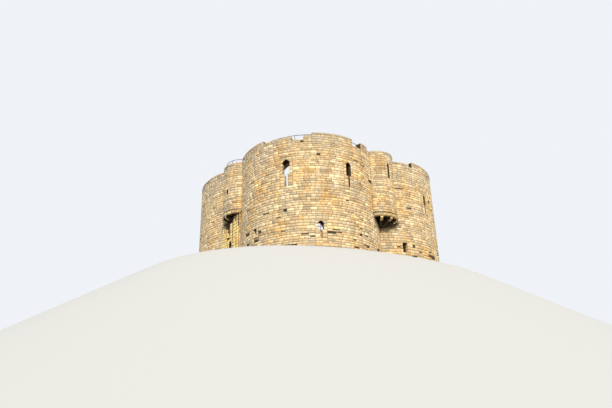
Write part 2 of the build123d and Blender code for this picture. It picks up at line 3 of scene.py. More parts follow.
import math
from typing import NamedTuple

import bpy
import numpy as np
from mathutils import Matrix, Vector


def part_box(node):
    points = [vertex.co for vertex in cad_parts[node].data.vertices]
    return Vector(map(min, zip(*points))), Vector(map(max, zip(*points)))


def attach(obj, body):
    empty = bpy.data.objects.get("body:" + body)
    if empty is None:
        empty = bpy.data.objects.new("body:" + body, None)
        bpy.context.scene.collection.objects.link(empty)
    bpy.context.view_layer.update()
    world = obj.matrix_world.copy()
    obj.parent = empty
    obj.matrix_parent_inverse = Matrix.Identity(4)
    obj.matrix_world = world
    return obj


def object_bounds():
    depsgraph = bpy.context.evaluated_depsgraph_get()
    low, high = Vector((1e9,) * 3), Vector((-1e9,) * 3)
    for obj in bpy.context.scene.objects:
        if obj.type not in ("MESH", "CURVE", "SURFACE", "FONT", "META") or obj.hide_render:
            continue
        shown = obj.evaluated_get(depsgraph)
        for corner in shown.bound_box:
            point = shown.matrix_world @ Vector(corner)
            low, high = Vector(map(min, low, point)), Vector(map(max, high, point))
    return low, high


bl_info = {
    "name": "Keep dressing",
    "version": (2, 0, 0),
    "blender": (4, 5, 0),
    "location": "3D View > Sidebar > Keep",
    "description": "Dresses a four-lobed stone keep with ashlar facings, copings, flags and a pale stage",
    "category": "Add Mesh",
}

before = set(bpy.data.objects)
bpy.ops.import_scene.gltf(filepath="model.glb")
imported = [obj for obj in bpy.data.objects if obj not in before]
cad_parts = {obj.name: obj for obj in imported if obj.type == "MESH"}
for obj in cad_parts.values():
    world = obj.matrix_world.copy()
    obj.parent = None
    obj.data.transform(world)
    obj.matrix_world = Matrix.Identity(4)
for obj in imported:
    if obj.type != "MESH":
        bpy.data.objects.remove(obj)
CAD_LOW, CAD_HIGH = [list(corner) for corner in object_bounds()]

# Plan and levels of the keep, in metres
LOBE_DISTANCE = 5.6
COURT_HALF = 2.8
LOBE_RADIUS = CAD_HIGH[0] - LOBE_DISTANCE
INNER_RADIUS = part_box("court_floor")[1][0] - LOBE_DISTANCE
PARAPET_THICKNESS = 0.48
PARAPET_INNER = LOBE_RADIUS - PARAPET_THICKNESS
THROAT = 0.5
WALK_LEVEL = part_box("front_lobe_left_wall")[1][2]
COURT_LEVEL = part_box("court_floor")[1][2]
CORNER = (LOBE_DISTANCE + math.sqrt(2 * LOBE_RADIUS**2 - LOBE_DISTANCE**2)) / 2
TURRET_DISTANCE = CORNER * math.sqrt(2.0)
TURRET_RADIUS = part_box("front_right_turret_screen")[1][0] - CORNER
SCREEN_THICKNESS = 0.45
SCREEN_INNER = TURRET_RADIUS - SCREEN_THICKNESS
TURRET_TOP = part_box("front_right_turret_screen")[1][2]
CORNER_EDGE = math.degrees(math.atan2(CORNER, CORNER - LOBE_DISTANCE))  # azimuth of the re-entrant corner
TURRET_CHORD = math.degrees(math.asin(TURRET_RADIUS / 2 / LOBE_RADIUS))
TURRET_EDGE = CORNER_EDGE - 2 * TURRET_CHORD  # azimuth where a turret's face leaves a lobe
SCREEN_REACH = 135.0 - CORNER_EDGE + TURRET_CHORD  # half sweep of a screen's face
UP = np.array([0.0, 0.0, 1.0])

# Lobes: heading in degrees from +X, and the sense in which azimuths run
LOBES = {"front": (-90.0, 1), "right": (0.0, -1), "rear": (90.0, 1), "left": (180.0, -1)}

# Turrets: diagonal in degrees from +X, and those at the negative and positive end of each lobe
TURRETS = {"front_right": -45.0, "rear_right": 45.0, "rear_left": 135.0, "front_left": -135.0}
NEIGHBOURS = {
    "front": ("front_left", "front_right"),
    "right": ("rear_right", "front_right"),
    "rear": ("rear_right", "rear_left"),
    "left": ("front_left", "rear_left"),
}
RECESS_TURRET = "front_left"


class Opening(NamedTuple):
    """One opening: azimuth on its lobe, widths of its light and of the slit below it, levels and head."""

    azimuth: float
    light: float
    slit: float
    sill: float
    shoulder: float
    head: float
    arched: bool = True

    @property
    def springing(self):
        """Level where a half-round head starts, or the level of a flat head."""
        return self.head - (self.light / 2 if self.arched else 0.0)


def square_headed(azimuth, width, sill, head):
    """Opening of one width with a flat head."""
    return Opening(azimuth, width, width, sill, sill, head, arched=False)


OPENINGS = {
    "wide_window": Opening(-10.6, 0.65, 0.32, 5.86, 7.01, 8.36),
    "narrow_window": Opening(39.4, 0.50, 0.15, 5.99, 7.01, 8.29),
    "side_window": Opening(34.2, 0.37, 0.13, 5.78, 6.63, 7.64),
    "ground_loop": Opening(14.65, 0.50, 0.20, 1.10, 1.84, 2.58),
    "square_hole": square_headed(-39.9, 0.43, 2.14, 2.74),
    "oblong_hole": square_headed(62.7, 0.48, 1.43, 2.34),
    "doorway": Opening(0.0, 1.5, 1.5, 0.0, 0.0, 2.6),
}
SIDE_OPENINGS = ("wide_window", "side_window", "ground_loop", "square_hole", "oblong_hole")
LOBE_OPENINGS = {
    "front": ("wide_window", "narrow_window", "ground_loop", "square_hole"),
    "right": SIDE_OPENINGS,
    "rear": ("wide_window", "narrow_window", "square_hole", "doorway"),
    "left": SIDE_OPENINGS,
}
TURRET_LOOPS = {
    "front_right": square_headed(1.0, 0.22, 7.96, 9.39),
    "rear_right": square_headed(-1.0, 0.22, 7.96, 9.39),
    "rear_left": square_headed(1.0, 0.22, 7.96, 9.39),
    "front_left": square_headed(8.0, 0.22, 7.50, 7.96),
}

# Inner ends of the embrasures: width, fall of the sill, rise of the head, shift towards positive azimuth
MOUTHS = {
    "wide_window": (1.70, 0.50, 0.465, -0.64),
    "narrow_window": (1.40, 0.50, 0.0, 0.0),
    "side_window": (0.90, 0.50, 0.0, 0.12),
    "ground_loop": (1.35, 0.30, 0.65, 0.0),
}
MOUTH_PLANE = INNER_RADIUS - 0.1
SPLAY_DEPTH = LOBE_RADIUS - THROAT - MOUTH_PLANE
EMBRASURE_CHECK = 0.14
HOLE_SPLAY = 0.22

# Parapet runs: azimuth where the run ends, its rise above the walk, and how ragged its top is
MERLON, LOW, WORN, CRENEL = 1.10, 0.80, 0.75, 0.45
FRONT_RUNS = (
    (-31.0, MERLON, 0.04),
    (-6.0, LOW, 0.13),
    (3.5, CRENEL, 0.12),
    (9.9, WORN, 0.16),
    (44.5, MERLON, 0.04),
    (54.5, CRENEL, 0.08),
    (63.5, MERLON, 0.06),
    (TURRET_EDGE, LOW, 0.06),
)
RUNS = {
    "front": FRONT_RUNS,
    "right": (
        (-31.0, MERLON, 0.06),
        (-24.0, CRENEL, 0.08),
        (47.0, MERLON, 0.07),
        (50.5, CRENEL, 0.08),
        (TURRET_EDGE, WORN, 0.09),
    ),
    "rear": FRONT_RUNS,
    "left": ((24.0, MERLON, 0.05), (31.0, CRENEL, 0.08), (TURRET_EDGE, MERLON, 0.05)),
}


def length_property(name, description, default):
    """Setting for a length in metres."""
    return bpy.props.FloatProperty(name=name, description=description, default=default, unit="LENGTH")


def colour_property(name, description, default):
    """Setting for a colour."""
    return bpy.props.FloatVectorProperty(
        name=name, description=description, default=default, subtype="COLOR", size=3
    )


class KeepStoneSettings(bpy.types.PropertyGroup):
    """Sizes and colours of the keep's stonework."""

    course_height: length_property("Course height", "Mean height of an outer course", 0.225)
    stone_length: length_property("Stone length", "Mean length of an outer stone", 0.46)
    inner_course: length_property("Inner course", "Mean height of an inner course", 0.29)
    inner_length: length_property("Inner length", "Mean length of an inner stone", 0.50)
    joint_width: length_property("Joint width", "Width of a mortar joint", 0.009)
    stone_depth: length_property("Stone depth", "How far a stone stands out of its bed", 0.020)
    missing_share: bpy.props.FloatProperty(
        name="Missing stones",
        description="Share of face stones lost near the foot",
        default=0.05,
        subtype="FACTOR",
    )
    seed: bpy.props.IntProperty(name="Seed", description="Seed of every random draw", default=11)
    pale_stone: colour_property("Pale stone", "Fresh cream limestone", (0.95, 0.74, 0.44))
    gold_stone: colour_property("Gold stone", "Iron-stained limestone", (0.80, 0.46, 0.14))
    grey_stone: colour_property("Grey stone", "Weathered limestone", (0.60, 0.52, 0.39))
    mortar: colour_property("Mortar", "Joints between the stones", (0.60, 0.46, 0.28))
    # Dark core: the rubble core's colour in the joints, and painted shade in the reveals and recesses where
    # it shows
    core: colour_property("Core", "Rubble core and sheltered stone", (0.085, 0.062, 0.04))


class KeepStageSettings(bpy.types.PropertyGroup):
    """Colours and lamp levels of the stage."""

    floor_colour: colour_property("Floor", "Colour of the plain floor", (0.52, 0.52, 0.50))
    key_strength: bpy.props.FloatProperty(
        name="Key lamp", description="Strength of the key lamp", default=2.8
    )
    fill_strength: bpy.props.FloatProperty(
        name="Fill", description="Strength of the even fill", default=0.95
    )


def settings():
    """The stone settings of the scene."""
    return bpy.context.scene.keep_stone


def own_rng(number):
    """Random draws of one piece, the same on every run."""
    return np.random.default_rng(settings().seed * 100 + number)


# Surfaces: each maps (u, v, h) to space, with h laid off from the surface


def polar(centre, radius, angle, level=0.0):
    """Point at a radius and an angle in degrees about a centre in plan, at a level."""
    turned_by = math.radians(angle)
    return np.array(
        [centre[0] + radius * math.cos(turned_by), centre[1] + radius * math.sin(turned_by), level]
    )


def directions(angle):
    """Unit vectors in plan for an angle in degrees: outwards, and across, a quarter turn on."""
    out = polar((0.0, 0.0), 1.0, angle)
    return out, np.array([-out[1], out[0], 0.0])


def lobe_centre(lobe):
    """Centre of a lobe in plan."""
    return polar((0.0, 0.0), LOBE_DISTANCE, LOBES[lobe][0])


def turret_centre(turret):
    """Centre of a turret in plan, on the re-entrant corner."""
    return polar((0.0, 0.0), TURRET_DISTANCE, TURRETS[turret])


def around(centre, angle, reach, level):
    """Points about an upright axis: centre + reach * (cos angle, sin angle), at a level."""
    return np.stack(
        [centre[0] + reach * np.cos(angle), centre[1] + reach * np.sin(angle), level + 0 * angle], axis=-1
    )


def upright_wall(centre, heading, turn, radius, outward=1):
    """Upright cylinder: angle = heading + turn * u / radius, level = v, reach = radius + outward * h."""

    def place(u, v, h):
        return around(centre, math.radians(heading) + turn * u / radius, radius + outward * h, v)

    return place


def level_ring(centre, heading, turn, radius, level):
    """Level ring: angle = heading + turn * u / radius, reach = v, level = the ring's level + h."""

    def place(u, v, h):
        return around(centre, math.radians(heading) + turn * u / radius, v, level + h)

    return place


def flat_face(origin, across, up, out):
    """Flat face: origin + u * across + v * up + h * out."""

    def place(u, v, h):
        return origin + u[..., None] * across + v[..., None] * up + h[..., None] * out

    return place


# Courses

COURSE_SPREAD = (0.72, 1.32)  # heights and lengths beside their mean
LENGTH_SPREAD = (0.55, 1.45)
SHORTEST = 0.03
UNDER_SILL = 0.05
OVER_HEAD = 0.10
LEVEL_MATCH = 1e-6


def course_levels(low, high, mean, rng):
    """Levels of the beds between two heights, with courses of uneven height."""
    count = max(1, round((high - low) / mean))
    heights = rng.uniform(*COURSE_SPREAD, count)
    return low + (high - low) * np.concatenate([[0.0], np.cumsum(heights) / heights.sum()])


def cut_lengths(start, end, mean, rng):
    """Left and right limits of stones of uneven length along a stretch."""
    count = max(1, round((end - start) / mean))
    lengths = rng.uniform(*LENGTH_SPREAD, count)
    cuts = start + (end - start) * np.concatenate([[0.0], np.cumsum(lengths) / lengths.sum()])
    return cuts[:-1], cuts[1:]


def clear_spans(start, end, blocked):
    """Stretches of [start, end] outside the blocked ones."""
    spans = [(start, end)]
    for low, high in sorted(blocked):
        kept = []
        for a, b in spans:
            if low > a:
                kept.append((a, min(b, low)))
            if high < b:
                kept.append((max(a, high), b))
        spans = [(a, b) for a, b in kept if b - a > SHORTEST]
    return spans


def opening_zone(hole, radius, levels, margin):
    """Centre of an opening on a wall face, and the rectangle that its surround fills, as arc and levels."""
    centre = math.radians(hole.azimuth) * radius
    half = hole.light / 2 + margin
    low = levels[levels <= max(levels[0], hole.sill - UNDER_SILL) + LEVEL_MATCH].max()
    high = levels[levels >= min(levels[-1], hole.head + OVER_HEAD) - LEVEL_MATCH].min()
    return centre, (centre - half, centre + half, low, high)


# Stones: every stone is a five by five grid of surface parameters, its rim bedded in the wall

GRID = 5
EDGE_INSET = 0.014
INSET_SHARE = 0.3  # the inset's most, as part of a small stone
BED = 0.006
SWELL = 0.004  # roughness of a stone's front
PROBE = 0.01  # height at which a surface is tried for its outward side
LOST_WHOLE = 0.3  # part of the lost stones that are gone whole; the rest are worn down to a low bed
WORN_HEIGHT = 0.55
LEAST_HEIGHT = 0.05
LEAST_ROW = 0.02
ZONE_MATCH = 0.01
STONE_DEPTHS = (0.5, 1.3)  # depths of a stone beside the mean one
DRESSED_DEPTHS = (0.8, 1.1)
SURROUND_GAP = 0.004
FLAG_JOINT = 0.008
FLAG_DEPTH = 0.022
FLAG_GRIME = 0.3


class Stones:
    """Stones of one surface, gathered as arrays: sides on five levels each, the levels, and their looks."""

    def __init__(self, rng):
        self.rng = rng
        self.half_joint = settings().joint_width / 2
        self.sides, self.levels, self.looks = [], [], []

    def add(self, left, right, low, high, depth, grime=0.0, painted_shade_and_wear=0.0):
        """Adds stones. left and right are arrays, or functions of the levels for curved edges. The last value
        shifts their tone: positive values darken it, as painted shade under the turrets and in splays and
        throats and as weathering on copings, and negative values lighten it as painted light."""
        spread = 0.0 if callable(left) else 0.0 * np.atleast_1d(left)
        low, high = np.atleast_1d(low) + spread, np.atleast_1d(high) + spread
        inset = np.minimum(EDGE_INSET, INSET_SHARE * (high - low))
        levels = np.stack([low, low + inset, (low + high) / 2, high - inset, high], axis=1)
        sides = []
        for side in (left, right):
            sides.append(side(levels) if callable(side) else np.atleast_1d(side)[:, None] + 0 * levels)
        self.sides.append(np.stack(sides))
        self.levels.append(levels)
        self.looks.append(np.stack([np.broadcast_to(look, low.shape) for look in (depth, grime, painted_shade_and_wear)]))

    def courses(self, levels, start, end, length, zones=(), limit=None, lost=None, grime=0.0, painted_shade_and_wear=0.0):
        """Fills a face with courses. zones are (left, right, low, high) rectangles left open, limit(u) is
        the top of the face at u, lost(u, level) the share of stones missing or worn low there, and the last
        argument, a number or a function of (u, level), is the painted shade of the stones' tone, which is
        painted light where it is negative."""
        half = self.half_joint
        for low, high in zip(levels[:-1], levels[1:]):
            blocked = [(a, b) for a, b, c, d in zones if c < high - ZONE_MATCH and d > low + ZONE_MATCH]
            for a, b in clear_spans(start, end, blocked):
                left, right = cut_lengths(a, b, length, self.rng)
                middle = (left + right) / 2
                top = np.full(len(left), high) if limit is None else np.minimum(high, limit(middle))
                shown = top - low > LEAST_HEIGHT
                if lost is not None:
                    draw, gone = self.rng.random(len(left)), lost(middle, low)
                    shown &= draw > LOST_WHOLE * gone
                    top = np.where(draw < gone, low + WORN_HEIGHT * (top - low), top)
                depth = settings().stone_depth * self.rng.uniform(*STONE_DEPTHS, len(left))
                sides = ((left + half)[shown], (right - half)[shown])
                # Painted shade of each shown stone, and painted light where it is negative
                painted_shade = painted_shade_and_wear(middle, low)[shown] if callable(painted_shade_and_wear) else painted_shade_and_wear
                self.add(*sides, low + half, top[shown] - half, depth[shown], grime, painted_shade)

    def surround(self, hole, radius, levels, margin, row=0.3):
        """Dressed stones round an opening, which fill the rectangle that is given back for the courses to
        leave open. A jamb stone runs from the rectangle's side to the opening's edge: the half width of the
        light or slit, or in an arched head the root of half^2 - (level - springing)^2."""
        centre, zone = opening_zone(hole, radius, levels, margin)
        left, right, low, high = zone
        half = self.half_joint
        marks = [low, hole.sill, hole.shoulder, hole.springing, hole.head, high]
        beds = [low]
        for a, b in zip(marks[:-1], marks[1:]):
            if b - a > LEAST_ROW:
                rows = max(1, round((b - a) / row))
                beds += [a + (b - a) * (k + 1) / rows for k in range(rows)]
        for a, b in zip(beds[:-1], beds[1:]):
            middle = (a + b) / 2
            depth = settings().stone_depth * self.rng.uniform(*DRESSED_DEPTHS)
            if middle < hole.sill or middle > hole.head:
                self.add(left + half, centre - half, a + half, b - half, depth)
                self.add(centre + half, right - half, a + half, b - half, depth)
                continue
            width = hole.slit if middle < hole.shoulder else hole.light

            def edge(level, reach=width / 2):
                return half_width(level, reach, hole) + SURROUND_GAP

            self.add(left + half, lambda v: centre - edge(v), a + half, b - half, depth)
            self.add(lambda v: centre + edge(v), right - half, a + half, b - half, depth)
        return zone

    def row(self, low, high, left_edge, right_edge, mean, joint=FLAG_JOINT):
        """One row of flags between two edges given as functions of the level, which the end flags follow."""
        middle = np.array([(low + high) / 2])
        left, right = cut_lengths(left_edge(middle)[0], right_edge(middle)[0], mean, self.rng)
        rise = (low + FLAG_JOINT, high - FLAG_JOINT, FLAG_DEPTH, FLAG_GRIME)

        def last_edge(level):
            return right_edge(level) - joint

        first_end = right[:1] - joint if len(left) > 1 else last_edge
        self.add(lambda v: left_edge(v) + joint, first_end, *rise)
        if len(left) > 1:
            self.add(left[-1:] + joint, last_edge, *rise)
        if len(left) > 2:
            self.add(left[1:-1] + joint, right[1:-1] - joint, *rise)


def half_width(level, half, hole):
    """Half width of an opening at each level: full below the springing, then a half circle if arched."""
    if not hole.arched:
        return np.where(level < hole.springing, half, 0.0)
    rise = np.clip((level - hole.springing) / half, 0.0, 1.0)
    return half * np.sqrt(1.0 - rise**2)


class Facing:
    """One new piece: stones laid on one or more surfaces and gathered in one mesh."""

    def __init__(self, number):
        self.rng = own_rng(number)
        self.points, self.faces, self.colours = [], [], []
        self.total = 0

    def lay(self, stones, place, bed=BED, rough=SWELL):
        """Lays stones on a surface. Each stone's front is its grid lifted by its depth with a small random
        swell; the outer ring of the grid stays in the bed, which rounds the edges."""
        if not stones.sides:
            return
        left, right = np.concatenate(stones.sides, axis=1)
        levels = np.concatenate(stones.levels)
        depth, grime, painted_shade_and_wear = np.concatenate(stones.looks, axis=1)
        count = len(left)
        inset = np.minimum(EDGE_INSET, INSET_SHARE * (right - left))
        across = np.stack([left, left + inset, (left + right) / 2, right - inset, right], axis=2)
        up = np.broadcast_to(levels[:, :, None], across.shape)
        lift = np.full(across.shape, -bed)
        swell = self.rng.uniform(-rough, rough, (count, GRID - 2, GRID - 2))
        lift[:, 1:-1, 1:-1] = depth[:, None, None] + swell
        points = place(across, up, lift)
        middle = [grid[:, GRID // 2, GRID // 2] for grid in (across, up)]
        level = 0.0 * middle[0]
        base = place(*middle, level)
        out = (place(*middle, level + PROBE) - base) / PROBE
        turn = np.cross(points[:, 2, 3] - points[:, 2, 1], points[:, 3, 2] - points[:, 1, 2])
        cell = np.arange(GRID - 1)
        corner = (cell[:, None] * GRID + cell[None, :]).reshape(-1)
        quad = np.stack([corner, corner + 1, corner + GRID + 1, corner + GRID], axis=1)
        if (turn * out).sum() < 0:
            quad = quad[:, ::-1]
        faces = quad[None] + (self.total + np.arange(count) * GRID * GRID)[:, None, None]
        tints = stone_tints(base, out, grime, self.rng)
        # Painted shade and painted light on the tone, and the copings' weathering: positive values darken,
        # negative ones lighten
        tints[:, 0] *= 1.0 - painted_shade_and_wear
        front = (lift > 0).astype(float).reshape(count, -1, 1)
        tints = np.broadcast_to(tints[:, None, :], (count, GRID * GRID, 3))
        self.points.append(points.reshape(-1, 3))
        self.faces.append(faces.reshape(-1, 4))
        self.colours.append(np.concatenate([tints, front], axis=2).reshape(-1, 4))
        self.total += count * GRID * GRID

    def courses(self, place, levels, start, end, length, rough=SWELL, **options):
        """Lays a surface with plain courses."""
        stones = Stones(self.rng)
        stones.courses(levels, start, end, length, **options)
        self.lay(stones, place, rough=rough)

    def piece(self, name, finish="ashlar", slot="masonry"):
        """Builds the mesh and joins it to the one body."""
        points, faces, colours = (np.concatenate(rows) for rows in (self.points, self.faces, self.colours))
        build_mesh(name, points, faces, bpy.data.materials[finish], slot, colours)


def build_mesh(name, points, faces, material, slot=None, colours=None, smooth=True):
    """Mesh object at the origin from arrays of points and quads, with an optional colour per point."""
    mesh = bpy.data.meshes.new(name)
    mesh.vertices.add(len(points))
    mesh.vertices.foreach_set("co", np.ascontiguousarray(points, dtype=np.float32).ravel())
    mesh.loops.add(faces.size)
    mesh.loops.foreach_set("vertex_index", np.ascontiguousarray(faces, dtype=np.int32).ravel())
    mesh.polygons.add(len(faces))
    mesh.polygons.foreach_set("loop_start", np.arange(0, faces.size, faces.shape[1], dtype=np.int32))
    mesh.polygons.foreach_set("use_smooth", np.full(len(faces), smooth))
    if colours is not None:
        layer = mesh.color_attributes.new("stone", "FLOAT_COLOR", "POINT")
        layer.data.foreach_set("color", np.ascontiguousarray(colours, dtype=np.float32).ravel())
    mesh.update(calc_edges=True)
    mesh.validate()
    piece = bpy.data.objects.new(name, mesh)
    bpy.context.scene.collection.objects.link(piece)
    mesh.materials.append(material)
    if slot:
        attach(piece, "root")
    return piece


# Tints: sizes of the weathering's waves, and how much each influence moves tone, warmth and grime

BROAD, LOCAL, DIRTY = (0, 2.2), (1, 0.7), (2, 1.6)  # number and wavelength of three smooth noises
WAVE_COUNT = 28
WAVE_SPREAD = (0.6, 1.5)
WAVE_SEED = 90
BRIGHT_SHARE = 0.12
TONE = {"mean": 0.62, "own": 0.09, "local": 0.05, "bright": 0.20}
# The shaded entries paint shade: faces turned towards -X, away from the key lamp, become cooler and greyer
WARMTH = {"mean": 0.27, "broad": 0.16, "local": 0.11, "own": 0.12, "shaded": 0.14}
GRIME = {"mean": 0.08, "patch": 0.10, "own": 0.13, "shaded": 0.34, "high": 0.30}
SHADED_FROM = 0.15
HIGH_FROM, HIGH_OVER = 8.3, 2.0


def wave_noise(points, number, size):
    """Smooth noise of unit spread, the same on every piece: a sum of plane waves with lengths near a size."""
    rng = own_rng(WAVE_SEED + number)
    heading = rng.normal(size=(WAVE_COUNT, 3))
    heading /= np.linalg.norm(heading, axis=1, keepdims=True)
    wave = heading * (2 * math.pi / size) * rng.uniform(*WAVE_SPREAD, (WAVE_COUNT, 1))
    phase = rng.uniform(0, 2 * math.pi, WAVE_COUNT)
    return np.cos(points @ wave.T + phase).sum(axis=1) * math.sqrt(2 / WAVE_COUNT)


def stone_tints(points, out, grime, rng):
    """Tone, warmth and grime of each stone from 0 to 1: broad patches, painted shade that makes faces
    turned towards -X, away from the key lamp, cooler and greyer, more weathering near the top, and each
    stone's own draw."""
    broad, local = wave_noise(points, *BROAD), wave_noise(points, *LOCAL)
    own = rng.normal(size=(len(points), 3))
    bright = rng.random(len(points)) < BRIGHT_SHARE
    tone = TONE["mean"] + TONE["own"] * own[:, 0] + TONE["local"] * local + TONE["bright"] * bright
    # Painted shade: how far a face turns towards -X, away from the key lamp
    shaded = np.clip(-out[:, 0] - SHADED_FROM, 0, 1)
    warmth = WARMTH["mean"] + WARMTH["broad"] * broad + WARMTH["local"] * local
    warmth = warmth + WARMTH["own"] * own[:, 1] - WARMTH["shaded"] * shaded
    high = GRIME["high"] * np.clip((points[:, 2] - HIGH_FROM) / HIGH_OVER, 0, 1)
    grime_and_shade = grime + GRIME["mean"] + GRIME["patch"] * wave_noise(points, *DIRTY)
    grime_and_shade = grime_and_shade + GRIME["own"] * own[:, 2] + GRIME["shaded"] * shaded + high
    return np.clip(np.stack([tone, warmth, grime_and_shade], axis=1), 0, 1)


# Materials: spans of a mask, as its low and high value and what they are stretched to

GOLD_PATCHES = (0.42, 0.70, -0.12, 0.38)
GREY_STREAKS = (0.44, 0.70, -0.05, 0.35)
TONE_LEVEL = (0.0, 1.0, 0.05, 1.45)
GRAIN_LEVEL = (0.30, 0.66, 0.80, 1.12)
PIT_LEVEL = (0.04, 0.22, 0.80, 1.0)
CLOUD_LEVEL = (0.34, 0.68, 0.90, 1.10)
CORE_PATCHES = (0.35, 0.70, 0.65, 1.35)
CORE_GRAIN = (0.30, 0.68, 0.70, 1.15)
RUST_PATCHES = (0.50, 0.72, 0.0, 0.55)
WARMTH_REACH = 1.15
PIT_RELIEF = 0.6
STREAK_STRETCH = (1.6, 1.6, 0.22)
PAINT, RUST = (0.018, 0.019, 0.022), (0.11, 0.05, 0.025)

# Hue of each kind of facing stone beside the walls' own
HUES = {
    "ashlar": (1.0, 1.0, 1.0),
    "shaft_ashlar": (1.0, 0.89, 0.62),
    "flags": (0.80, 0.78, 0.74),
    "dressed": (1.0, 0.96, 0.88),
}


def plug(tree, socket, value):
    """Links a socket to another one, or sets its value."""
    if isinstance(value, bpy.types.NodeSocket):
        tree.links.new(value, socket)
    elif socket.type == "RGBA":
        socket.default_value = (*value, 1.0)
    else:
        socket.default_value = value


def shader(tree, kind, properties=None, **inputs):
    """Adds a node, sets its properties, and sets or links its inputs by name."""
    made = tree.nodes.new(kind)
    for key, value in (properties or {}).items():
        setattr(made, key, value)
    for key, value in inputs.items():
        plug(tree, made.inputs[key.replace("_", " ")], value)
    return made


def math_node(tree, operation, first, second):
    """Result of one operation on two values or sockets."""
    made = shader(tree, "ShaderNodeMath", {"operation": operation})
    plug(tree, made.inputs[0], first)
    plug(tree, made.inputs[1], second)
    return made.outputs[0]


def ramp(tree, value, span):
    """Value stretched from the first two numbers of a span to its last two, and clamped."""
    low, high, out_low, out_high = span
    stretched = shader(
        tree, "ShaderNodeMapRange", Value=value, From_Min=low, From_Max=high, To_Min=out_low, To_Max=out_high
    )
    return stretched.outputs["Result"]


def mixed(tree, factor, first, second, blend="MIX"):
    """Colour mixed between two by a factor, kept within 1."""
    properties = {"data_type": "RGBA", "blend_type": blend, "clamp_result": True}
    mix = shader(tree, "ShaderNodeMix", properties)
    for number, value in ((0, factor), (6, first), (7, second)):
        plug(tree, mix.inputs[number], value)
    return mix.outputs[2]


def levelled(tree, colour, level):
    """Colour multiplied by a grey level."""
    grey = shader(tree, "ShaderNodeCombineColor", Red=level, Green=level, Blue=level).outputs[0]
    return mixed(tree, 1.0, colour, grey, "MULTIPLY")


def weather_group():
    """Weathering of stone as masks: broad patches, vertical streaks, fine grain and pits, from a vector."""
    if "keep_weather" in bpy.data.node_groups:
        return bpy.data.node_groups["keep_weather"]
    group = bpy.data.node_groups.new("keep_weather", "ShaderNodeTree")
    group.interface.new_socket("Vector", in_out="INPUT", socket_type="NodeSocketVector")
    place = group.nodes.new("NodeGroupInput").outputs["Vector"]
    squeezed = shader(group, "ShaderNodeMapping", Vector=place, Scale=STREAK_STRETCH).outputs[0]
    noise = "ShaderNodeTexNoise"
    masks = {
        "Patches": shader(group, noise, Vector=place, Scale=0.45, Detail=5.0, Roughness=0.6).outputs["Fac"],
        "Streaks": shader(group, noise, Vector=squeezed, Scale=1.3, Detail=4.0, Roughness=0.6).outputs["Fac"],
        "Grain": shader(group, noise, Vector=place, Scale=14.0, Detail=6.0, Roughness=0.7).outputs["Fac"],
        "Pits": shader(group, "ShaderNodeTexVoronoi", Vector=place, Scale=9.0).outputs["Distance"],
    }
    for name in masks:
        group.interface.new_socket(name, in_out="OUTPUT", socket_type="NodeSocketFloat")
    end = group.nodes.new("NodeGroupOutput")
    for name, mask in masks.items():
        plug(group, end.inputs[name], mask)
    return group


def new_material(name):
    """Node tree of a new material, which holds its Principled shader."""
    material = bpy.data.materials.new(name)
    material.use_nodes = True
    return material.node_tree


def weathered_material(name):
    """Node tree of a new material, and the masks of its weathering on Object coordinates."""
    tree = new_material(name)
    coords = shader(tree, "ShaderNodeTexCoord").outputs["Object"]
    return tree, shader(tree, "ShaderNodeGroup", {"node_tree": weather_group()}, Vector=coords).outputs


def finish_material(tree, colour, relief, roughness, specular, strength, distance):
    """Gives a material its colour and sheen, and its relief as a bump of a strength and a depth in metres."""
    surface = tree.nodes["Principled BSDF"]
    bump = shader(tree, "ShaderNodeBump", Height=relief, Strength=strength, Distance=distance).outputs[0]
    plug(tree, surface.inputs["Base Color"], colour)
    plug(tree, surface.inputs["Roughness"], roughness)
    plug(tree, surface.inputs["Specular IOR Level"], specular)
    plug(tree, surface.inputs["Normal"], bump)


def stone_material(name, look, hue):
    """Facing stone. Colour runs from cream to gold by each stone's warmth and by broad patches, and to grey
    by its grime, which also holds painted shade on faces turned towards -X, and by streaks; brightness
    follows its tone, which holds painted shade and painted light, and rims sink towards the mortar colour."""
    tree, weather = weathered_material(name)
    tint = shader(tree, "ShaderNodeVertexColor", {"layer_name": "stone"}).outputs
    # The grime channel also holds the painted shade of faces turned towards -X; the tone holds painted shade
    # and light
    tone, warmth, grime = shader(tree, "ShaderNodeSeparateColor", Color=tint["Color"]).outputs
    patches = ramp(tree, weather["Patches"], GOLD_PATCHES)
    warm = math_node(tree, "ADD", math_node(tree, "MULTIPLY", warmth, WARMTH_REACH), patches)
    greyed_by_grime_and_shade = math_node(tree, "ADD", grime, ramp(tree, weather["Streaks"], GREY_STREAKS))
    colour = mixed(tree, warm, tuple(look.pale_stone), tuple(look.gold_stone))
    colour = mixed(tree, greyed_by_grime_and_shade, colour, tuple(look.grey_stone))
    level = ramp(tree, tone, TONE_LEVEL)
    for mask, span in (("Grain", GRAIN_LEVEL), ("Pits", PIT_LEVEL), ("Patches", CLOUD_LEVEL)):
        level = math_node(tree, "MULTIPLY", level, ramp(tree, weather[mask], span))
    colour = mixed(tree, 1.0, levelled(tree, colour, level), hue, "MULTIPLY")
    colour = mixed(tree, tint["Alpha"], tuple(look.mortar), colour)
    pits = math_node(tree, "MULTIPLY", weather["Pits"], PIT_RELIEF)
    relief = math_node(tree, "ADD", weather["Grain"], pits)
    finish_material(tree, colour, relief, roughness=0.93, specular=0.25, strength=0.7, distance=0.014)


def core_and_shade_material(name, colour):
    """Rubble core without facing stones, whose dark colour also stands in as painted shade in reveals and
    recesses: one colour with patches and grain.
    """
    tree, weather = weathered_material(name)
    relief = weather["Grain"]
    patch, grain = ramp(tree, weather["Patches"], CORE_PATCHES), ramp(tree, relief, CORE_GRAIN)
    colour = levelled(tree, colour, math_node(tree, "MULTIPLY", patch, grain))
    finish_material(tree, colour, relief, roughness=0.95, specular=0.2, strength=0.6, distance=0.012)


